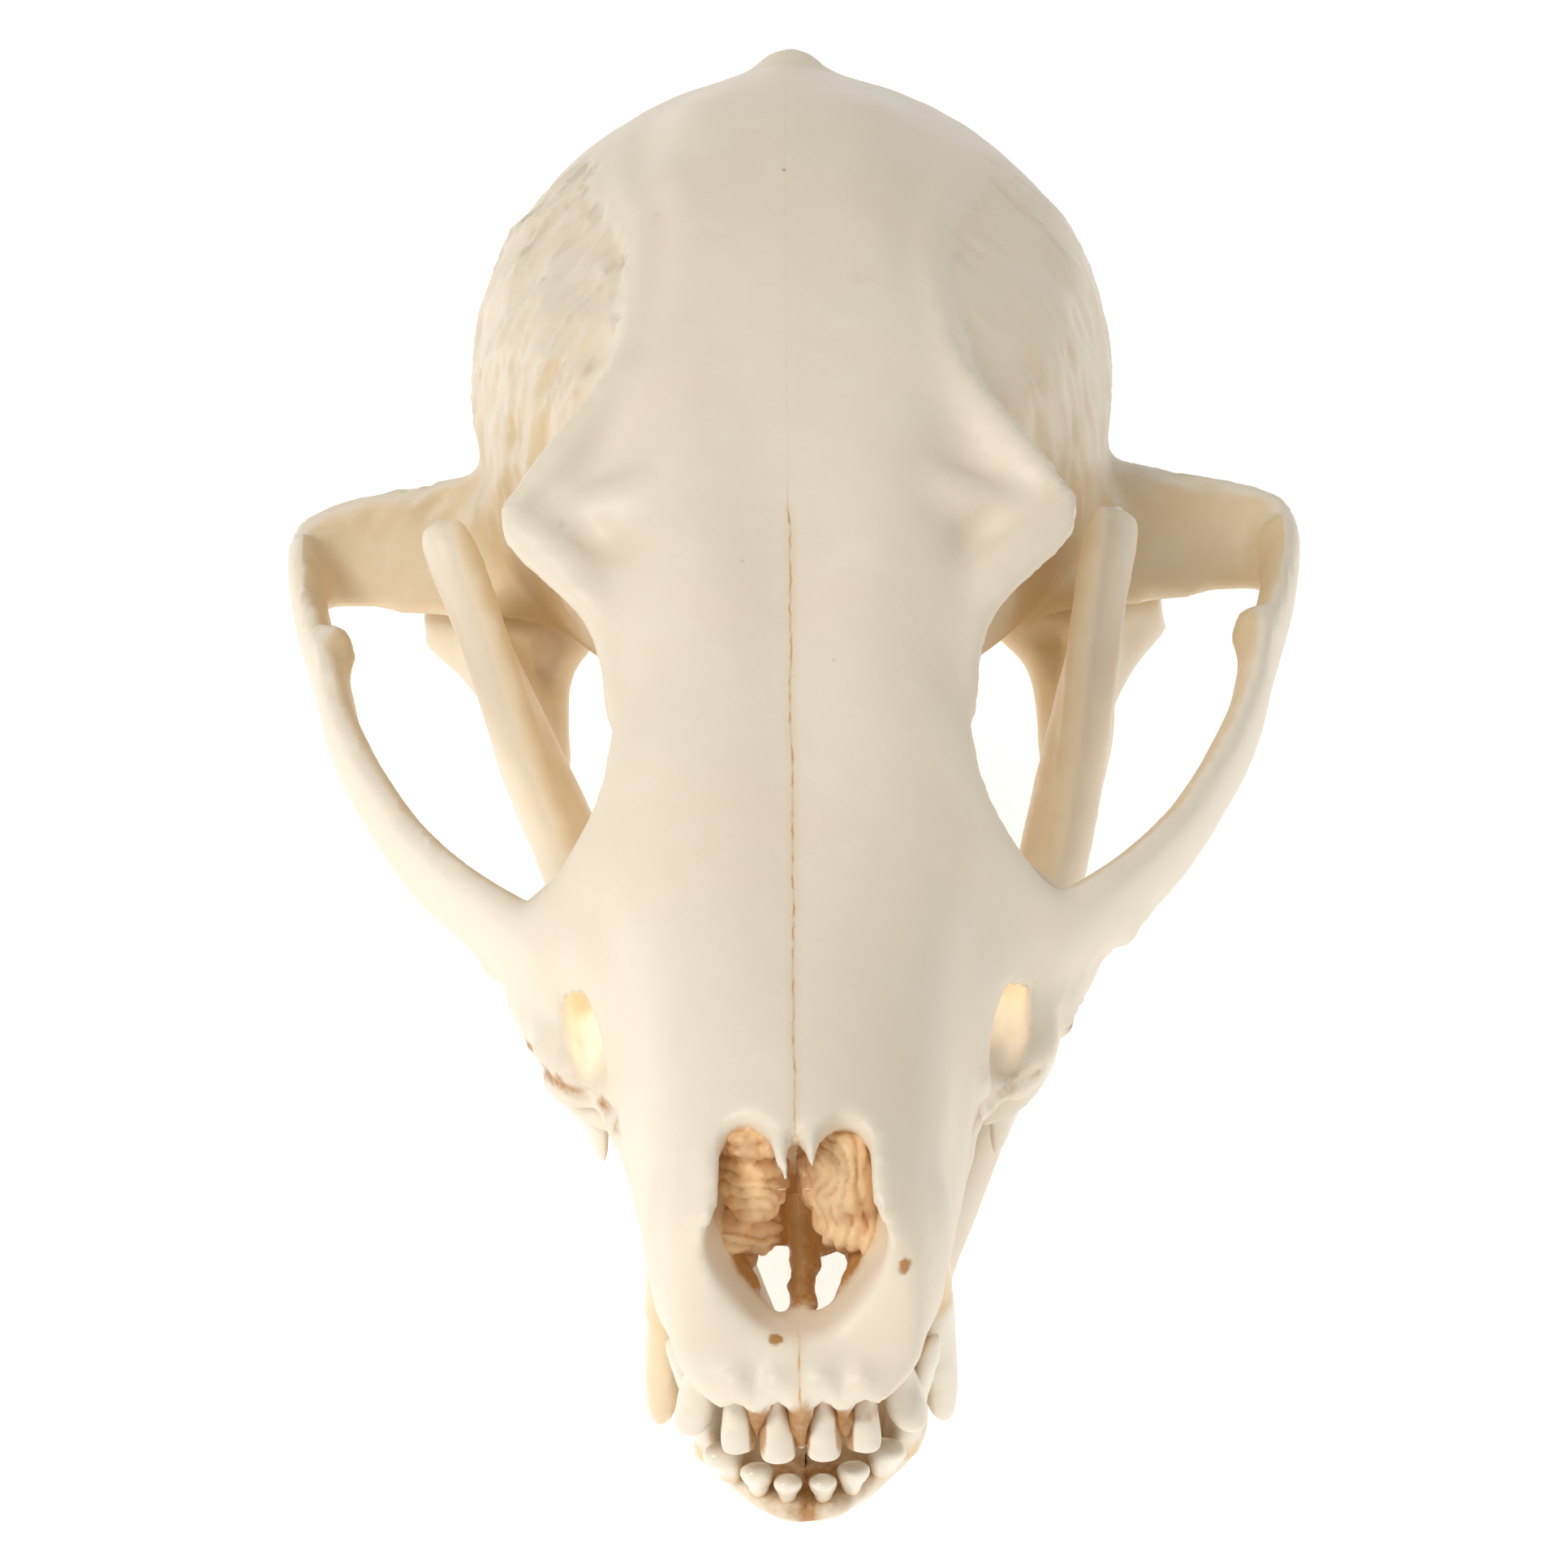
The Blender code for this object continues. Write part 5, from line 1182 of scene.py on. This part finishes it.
def bone_surface():
    """Dry bone: cream faces, painted tan shade in hollows, a painted glow, pores, stains, a seam and fine
    grain.
    """
    # The tan colour is painted shade; cream, rust and the seam colours are the bone's own.
    group, given, out = new_group("dry_bone", {
        "Cream": (0.81, 0.715, 0.575), "Tan": (0.66, 0.49, 0.27), "Rust": (0.42, 0.19, 0.045),
        "Hollow": 0.0, "Stain": 0.0, "Crust": 0.0, "Seam": NO_SEAM, "Pore Strength": 1.0, "Thin": 0.0,
    }, {"Colour": "Color", "Roughness": "Float", "Height": "Float", "Light Through": "Color"})
    place = add(group, "ShaderNodeTexCoord").outputs["Object"]
    wide = noise(group, place, 55.0, 2.0)
    fine = noise(group, place, 420.0, 2.0)
    grain = noise(group, place, 1900.0, 0.0)
    tint = blend_colour(group, ramp(group, wide, 0.35, 0.7, 0.0, 0.35), given["Cream"], (0.78, 0.64, 0.46))
    tint = blend_colour(group, ramp(group, fine, 0.45, 0.8, 0.0, 0.18), tint, (0.86, 0.79, 0.68))
    # Painted shade: tan is mixed in where the shade mask is high, broken up by fine noise.
    worn = vary(group, fine, 0.3, given["Hollow"])
    tint = blend_colour(group, ramp(group, worn, 0.1, 1.0, 0.0, 0.85), tint, given["Tan"])
    patchy = maths(group, "MULTIPLY_ADD", noise(group, place, 900.0, 2.0, 0.65), 1.6, 0.1)
    patchy = maths(group, "MULTIPLY", given["Stain"], patchy)
    tint = blend_colour(group, ramp(group, patchy, 0.15, 1.0, 0.0, 0.95), tint, given["Rust"])
    wobble = maths(group, "MULTIPLY_ADD", noise(group, place, 1500.0, 1.0), 0.2, given["Seam"])
    wobble = maths(group, "ABSOLUTE", maths(group, "SUBTRACT", wobble, 0.1))
    line = ramp(group, wobble, 0.0, 0.13, 1.0, 0.0)
    dots = ramp(group, noise(group, place, 800.0, 0.0), 0.35, 0.7, 0.3, 0.95)
    tint = blend_colour(group, ramp(group, wobble, 0.05, 0.7, 0.22, 0.0), tint, (0.72, 0.5, 0.26))
    tint = blend_colour(group, maths(group, "MULTIPLY", line, dots), tint, (0.56, 0.31, 0.12))
    cells = add(group, "ShaderNodeTexVoronoi", links={"Vector": place},
                values={"Scale": 330.0, "Randomness": 1.0}).outputs
    chosen = add(group, "ShaderNodeSeparateColor", links={"Color": cells["Color"]}).outputs[0]
    pore = ramp(group, cells["Distance"], 0.04, 0.085, 1.0, 0.0)
    pore = maths(group, "MULTIPLY", pore, ramp(group, chosen, 0.93, 0.95))
    pore = maths(group, "MULTIPLY", pore, given["Pore Strength"])
    tint = blend_colour(group, maths(group, "MULTIPLY", pore, 0.75), tint, (0.33, 0.22, 0.12))
    crusty = maths(group, "MULTIPLY", given["Crust"], noise(group, place, 1300.0, 1.0))
    height = maths(group, "MULTIPLY_ADD", grain, 0.12, maths(group, "MULTIPLY", fine, 0.35))
    hand_out(group, out, {
        "Colour": tint,
        "Roughness": maths(group, "MULTIPLY_ADD", fine, 0.22, 0.36),
        "Height": maths(group, "MULTIPLY_ADD", crusty, 2.2, height),
        # Painted glow: the bone colour, scaled by the glow mask, is handed out to be given off as light.
        "Light Through": blend_colour(group, given["Thin"], (0.0, 0.0, 0.0), tint),
    })
    return group


def enamel_surface():
    """Tooth: pale tip, yellower neck, rust stains, and painted brown shade in the grooves."""
    group, given, out = new_group("tooth_enamel", {
        "Pale": (0.8, 0.71, 0.57), "Neck": (0.78, 0.58, 0.33), "Rust": (0.4, 0.19, 0.045),
        "Hollow": 0.0, "Root": 0.0, "Stain": 0.0,
    }, {"Colour": "Color", "Roughness": "Float", "Height": "Float"})
    place = add(group, "ShaderNodeTexCoord").outputs["Object"]
    wide = noise(group, place, 260.0, 3.0)
    fine = noise(group, place, 1400.0, 3.0)
    root = vary(group, wide, 0.5, given["Root"])
    tint = blend_colour(group, ramp(group, root, 0.2, 0.9), given["Pale"], given["Neck"])
    dirt = vary(group, fine, 0.6, given["Stain"])
    tint = blend_colour(group, ramp(group, dirt, 0.25, 1.0, 0.0, 0.9), tint, given["Rust"])
    # Painted shade: brown is mixed in where the shade mask is high, in grooves and between teeth.
    shade = vary(group, fine, 0.3, given["Hollow"])
    hand_out(group, out, {
        "Colour": blend_colour(group, ramp(group, shade, 0.35, 1.0, 0.0, 0.6), tint, (0.62, 0.42, 0.22)),
        "Roughness": maths(group, "MULTIPLY_ADD", wide, 0.14, 0.18),
        "Height": maths(group, "MULTIPLY_ADD", fine, 0.3, maths(group, "MULTIPLY", wide, 0.5)),
    })
    return group


def finish(name, group, values, masks, bump_depth, coat=0.0):
    """Material around a surface group; masks name the attributes that feed it."""
    made = bpy.data.materials.new(name)
    made.use_nodes = True
    tree = made.node_tree
    shader = tree.nodes["Principled BSDF"]
    look = tree.nodes.new("ShaderNodeGroup")
    look.node_tree = group
    for label, value in values.items():
        look.inputs[label].default_value = (*value, 1.0) if isinstance(value, tuple) else value
    for label in masks:
        tree.links.new(mask(tree, label.lower()), look.inputs[label])
    tree.links.new(look.outputs["Colour"], shader.inputs["Base Color"])
    tree.links.new(look.outputs["Roughness"], shader.inputs["Roughness"])
    relief = add(tree, "ShaderNodeBump", links={"Height": look.outputs["Height"]},
                 values={"Strength": 0.6, "Distance": bump_depth * MM})
    tree.links.new(relief.outputs["Normal"], shader.inputs["Normal"])
    # Painted glow: where the glow mask is set, the bone gives off its own colour as light at strength 0.6,
    # though it is no lamp.
    if "Light Through" in look.outputs:
        tree.links.new(look.outputs["Light Through"], shader.inputs["Emission Color"])
        shader.inputs["Emission Strength"].default_value = 0.6
        made.cycles.emission_sampling = "NONE"
    shader.inputs["Coat Weight"].default_value = coat
    shader.inputs["Coat Roughness"].default_value = 0.18
    return made


def tan_faces(points, normals):
    """Faces of the cranium turned away from the light, which stay darker and yellower, from 0 to 1."""
    p = mirrored(points)
    x, y, z = p.T
    arch = step_up(inward_share(points, normals), -0.12, 0.25) * step_up(x, 15.5, 19.0)
    arch = arch * within(y, 38.0, 43.0, 84.0, 88.0)
    shelf = step_up(-normals[:, 1], 0.1, 0.8) * step_up(x, 12.0, 15.0) * step_up(y, 74.0, 78.0)
    shelf = shelf * step_up(-y, -93.0, -90.0)
    corner = 0.8 * spot(p, (16.0, 80.5, 7.0), (4.5, 6.0, 4.5))
    return np.clip(arch + shelf + corner, 0.0, 1.0)


def inward_share(points, normals):
    """How much each point faces the midline."""
    return -normals[:, 0] * np.sign(points[:, 0])


# Making.

def wear(item, material):
    item.data.materials.clear()
    item.data.materials.append(material)


bpy.ops.object.select_all(action="DESELECT")
cranium = build_cranium()
scrolls = build_scrolls()
jaws = {word: build_jaw("skull_lower_jaw_" + word, side) for word, side in (("left", 1), ("right", -1))}
teeth = build_teeth()

mesh = cranium.data
points = points_of(mesh)
x, y, z = points.T
rim = step_up(-y, -9.0, -6.0) * within(z, 0.8, 2.0, 6.5, 9.0)
rim = rim * step_up(-np.abs(x), -7.5, -6.5)
soften(mesh, 0.97 * rim, 14)
points = points_of(mesh)
points[:, 2] += scallop(points)
move_points(mesh, points)
swell(mesh, cranium_relief(points_of(mesh), normals_of(mesh)))
for side, scroll in zip((1, -1), scrolls):
    swell(scroll.data, scroll_relief(points_of(scroll.data), side))
for jaw in jaws.values():
    points = points_of(jaw.data)
    relief = 0.07 * cloud(points, 5.0, 21) + 0.035 * cloud(points, 1.8, 22)
    front = step_up(-points[:, 1], -9.0, -5.0) * step_up(points[:, 2], -13.0, -10.5)
    relief += front * 0.16 * cloud(points, 1.0, 23)
    points += normals_of(jaw.data) * relief[:, None]
    down = np.array(REST)[2]
    below = np.minimum(points @ down[:3] + down[3] / MM, 0.0)
    move_points(jaw.data, points - below[:, None] * down[:3])
for number, tooth in enumerate(teeth.values()):
    points = points_of(tooth.data)
    swell(tooth.data, 0.07 * cloud(points, 1.5, 60 + number % 7) + 0.03 * cloud(points, 0.6, 70))

everything = [cranium, *scrolls, *jaws.values(), *teeth.values()]
shut = {item.name: np.zeros(len(item.data.vertices)) for item in everything}
shut = way_out(everything)

for item in everything:
    points = points_of(item.data)
    normals = normals_of(item.data)
    # Painted shade: the smoothed share of sky a point can't see, so hollows, gaps between parts and grooves
    # are painted darker and tanner.
    hollow = np.clip(even_out(item.data, shut[item.name], 3) * 1.45 - 0.3, 0.0, 1.0)
    # Painted glow: bone colour given off as light, none unless set below.
    thin = 0.0
    if item is cranium:
        p = mirrored(points)
        # Painted glow in the shaded canal under the eye and inside the nose, stronger where the painted shade
        # is deep.
        thin = spot(p, (13.6, 35.0, 4.0), (2.6, 11.0, 4.5))
        thin = thin + 0.45 * spot(points, (0.0, 14.0, 4.5), (6.0, 9.0, 6.5))
        thin = np.clip(hollow * thin * 1.5, 0.0, 1.0)
        # Painted shade lifted at the mouth of the canal under the eye, so it stays light.
        hollow *= 1.0 - 0.85 * spot(p, (13.7, 30.0, 4.5), (3.0, 8.0, 4.5))
        # Painted shade also on faces turned away from the light, and over the rough muscle field of the
        # braincase side.
        hollow = hollow + 0.65 * tan_faces(points, normals)
        hollow = np.clip(hollow + fossa_mask(points) * (0.3 + 0.12 * cloud(points, 3.0, 44)), 0.0, 1.0)
    elif item in jaws.values():
        # Painted shade and painted glow on the inner faces of the jaw's back part, which face the midline
        # away from the light.
        inner = step_up(inward_share(points, normals), 0.0, 0.4) * step_up(points[:, 1], 54.0, 62.0)
        thin = 0.3 * inner
        hollow = np.clip(hollow + 0.5 * inner, 0.0, 1.0)
    elif item in scrolls:
        # Painted glow over the whole nose scrolls, and painted shade mostly from their creases.
        thin = 0.06
        hollow = np.clip(0.12 * hollow - 3.6 * bend_of(item.data, 12), 0.0, 1.0)
    keep_masks(item.data, hollow=hollow, thin=thin)

points = points_of(cranium.data)
p = mirrored(points)
normals = normals_of(cranium.data)
middle = points[:, 0] - 0.05 + 0.11 * cloud(points, 3.0, 31)
run = step_up(normals[:, 2], 0.0, 0.3) * step_up(points[:, 1], 8.0, 9.5)
run = run * step_up(-points[:, 1], -66.0, -62.0)
run = np.maximum(run, step_up(-points[:, 1], -4.6, -3.2) * step_up(points[:, 2], -1.8, -1.0))
seam = middle + np.sign(middle) * NO_SEAM * (1.0 - run)
crust = crust_mask(points)
gum = near_path(p, GUM_LINE)
stain = 1.5 * crust
rear = step_up(points[:, 1], 24.0, 29.0)
crevice = bump(gum + 0.3 * cloud(points, 1.5, 32), 0.6) * step_up(cloud(points, 3.0, 33), -0.9, 0.1)
stain += (0.4 + 0.9 * rear) * crevice
for centre, half, deep in SMUDGES:
    stain += deep * spot(points, centre, half)
stain += 0.4 * spot(points, (0.0, 12.0, 5.0), (5.2, 6.0, 4.0))
stain += 0.35 * spot(p, (16.6, 84.0, 4.2), (3.6, 3.0, 2.0))
stain += 0.5 * spot(p, (0.0, 2.0, -0.6), (3.4, 1.6, 0.7))
keep_masks(cranium.data, seam=seam, stain=np.clip(stain, 0.0, 1.6), crust=crust)
for scroll in scrolls:
    points = points_of(scroll.data)
    low = step_up(-points[:, 2], -6.0, -4.4) + 0.7 * step_up(points[:, 2], 10.2, 11.6) * (points[:, 0] < 0)
    low += 0.7 * spot(points, (0.0, 13.0, 9.0), (1.3, 6.0, 6.0))
    stain = np.clip(0.75 * low + 0.35 * cloud(points, 2.2, 34), 0.0, 1.0)
    keep_masks(scroll.data, seam=NO_SEAM, stain=stain, crust=0.35)
for jaw in jaws.values():
    points = points_of(jaw.data)
    stain = 0.95 * spot(points, (0.2, 4.2, -9.4), (4.6, 3.4, 1.5))
    stain += 0.8 * spot(points, (0.2, 1.6, -10.6), (0.8, 1.5, 1.6))
    stain += 0.45 * spot(mirrored(points), (16.6, 84.5, 2.2), (3.6, 3.4, 2.4))
    crust = spot(points, (0.2, 5.0, -9.6), (5.0, 4.0, 1.5))
    keep_masks(jaw.data, seam=NO_SEAM, stain=np.clip(stain, 0.0, 1.0), crust=crust)

bone = bone_surface()
enamel = enamel_surface()
bone_masks = ("Hollow", "Stain", "Crust", "Seam", "Thin")
tooth_masks = ("Hollow", "Root", "Stain")
jaw_tints = {"Cream": (0.8, 0.695, 0.54)}
# Cream and rust of the nose scrolls, and the orange-brown tan of their painted shade.
scroll_tints = {"Cream": (0.86, 0.55, 0.27), "Tan": (0.56, 0.22, 0.06), "Rust": (0.36, 0.14, 0.045)}
finishes = {name: finish(name, *settings) for name, *settings in (
    ("cranium_bone", bone, {}, bone_masks, 0.22),
    ("nose_scroll_bone", bone, scroll_tints, bone_masks, 0.2),
    ("lower_jaw_bone", bone, jaw_tints, bone_masks, 0.2),
    ("incisor_enamel", enamel, {}, tooth_masks, 0.1, 0.3),
    ("canine_enamel", enamel, {}, tooth_masks, 0.1, 0.25),
    ("cheek_tooth_enamel", enamel, {}, tooth_masks, 0.1, 0.25),
)}

for name, tooth in teeth.items():
    points = points_of(tooth.data)
    upper = name.startswith("upper")
    gum = np.array([tooth_line(y, upper) for y in points[:, 1]])
    depth = (points[:, 2] - gum) * (-1.0 if upper else 1.0)
    root = step_up(-depth, -1.6, 0.8)
    stain = 0.5 * bump(depth, 0.5) * step_up(cloud(points, 1.6, 35), -0.3, 0.6)
    if name.startswith("upper_incisor"):
        gap = np.min([np.abs(points[:, 0] - at) for at in (0.05, 2.75, -2.72)], 0)
        stain = stain + 1.2 * step_up(-gap, -0.8, -0.35) * step_up(points[:, 1], -0.4, 0.7)
    if name == "upper_canine_right":
        root = np.clip(root + 0.75, 0.0, 1.0)
    if name == "upper_incisor_2_left":
        stain = stain + 0.55 * step_up(cloud(points, 1.8, 36), -0.2, 0.5)
    if "molar" in name:
        root = np.clip(root + 0.3, 0.0, 1.0)
    keep_masks(tooth.data, root=root, stain=np.clip(stain, 0.0, 1.0))

stand_for = {cranium: ("cranium", "cranium_bone", "cranium_bone")}
for scroll in scrolls:
    stand_for[scroll] = ("cranium", "nose_scroll_bone", "cranium_bone")
for word, jaw in jaws.items():
    stand_for[jaw] = ("lower_jaw_" + word, "lower_jaw_bone", "lower_jaw_bone")
for name, tooth in teeth.items():
    kind = "incisor" if "incisor" in name else "canine" if "canine" in name else "cheek_tooth"
    stand_for[tooth] = (name, kind + "_enamel", kind + "_enamel")
for item, (node, look, slot) in stand_for.items():
    item.data.transform(REST)
    pick(item)
    bpy.ops.object.shade_smooth()
    wear(item, finishes[look])
    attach(item, "root")
    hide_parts(node)

# Studio: the camera's turn, rise and roll in degrees, its distance in millimetres, the scale of
# the picture in pixels a millimetre, the shift of its middle, and the point it looks at.

VIEW_TURN = 0.8
VIEW_RISE = 35.5
VIEW_ROLL = -1.57
VIEW_FAR = 780.0
VIEW_SCALE = 18.35
VIEW_SHIFT = (-0.77, 0.3)
VIEW_CENTRE = (0.0, 60.0, 5.0)
PHOTO_SIDE = 1932
# The white table lies this far under the skull, in metres, so that the two never touch.
TABLE_DROP = 0.0002
TABLE_GLOW = 0.6
SKY_STRENGTH = 0.47
LIT_POINT = (0.0, 0.0, 0.02)


def add_camera():
    turn, rise, roll = (math.radians(v) for v in (VIEW_TURN, VIEW_RISE, VIEW_ROLL))
    back = Vector((math.sin(turn) * math.cos(rise), -math.cos(turn) * math.cos(rise), math.sin(rise)))
    right = Vector((math.cos(turn), math.sin(turn), 0.0))
    up = back.cross(right)
    across = right * math.cos(roll) + up * math.sin(roll)
    upward = up * math.cos(roll) - right * math.sin(roll)
    at = Vector(VIEW_CENTRE) + VIEW_SHIFT[0] * across + VIEW_SHIFT[1] * upward + VIEW_FAR * back
    pose = Matrix((across, upward, back)).transposed().to_4x4()
    pose.translation = at * MM
    lens = bpy.data.cameras.new("view")
    lens.sensor_fit = "HORIZONTAL"
    lens.sensor_width = 36.0
    lens.lens = 36.0 * VIEW_FAR * VIEW_SCALE / PHOTO_SIDE
    lens.clip_start = 0.01
    lens.clip_end = 10.0
    camera = bpy.data.objects.new("view", lens)
    bpy.context.scene.collection.objects.link(camera)
    camera.matrix_world = REST @ pose
    bpy.context.scene.camera = camera


def add_light(name, place, size, power, colour):
    lamp = bpy.data.lights.new(name, "AREA")
    lamp.shape = "DISK"
    lamp.size = size
    lamp.energy = power
    lamp.color = colour
    item = bpy.data.objects.new(name, lamp)
    bpy.context.scene.collection.objects.link(item)
    item.location = place
    item.rotation_euler = (Vector(LIT_POINT) - Vector(place)).to_track_quat("-Z", "Y").to_euler()


add_camera()
bpy.ops.object.select_all(action="DESELECT")
bpy.ops.mesh.primitive_plane_add(size=6.0, location=(0.0, 0.0, -TABLE_DROP))
floor = bpy.context.object
floor.name = "floor"
paper = bpy.data.materials.new("white_table")
paper.use_nodes = True
for socket, value in (("Base Color", (0.9, 0.9, 0.9, 1.0)), ("Roughness", 0.9),
                      ("Emission Color", (1.0, 1.0, 1.0, 1.0)), ("Emission Strength", TABLE_GLOW)):
    paper.node_tree.nodes["Principled BSDF"].inputs[socket].default_value = value
paper.cycles.emission_sampling = "NONE"
wear(floor, paper)
add_light("key", (-0.42, -0.3, 0.62), 0.3, 3.1, (1.0, 0.995, 0.98))
add_light("fill", (0.6, -0.5, 0.5), 0.6, 0.7, (1.0, 0.99, 0.97))
world = bpy.data.worlds.new("studio")
world.use_nodes = True
world.node_tree.nodes["Background"].inputs["Color"].default_value = (1.0, 1.0, 1.0, 1.0)
world.node_tree.nodes["Background"].inputs["Strength"].default_value = SKY_STRENGTH
bpy.context.scene.world = world
bpy.context.scene.view_settings.view_transform = "Standard"
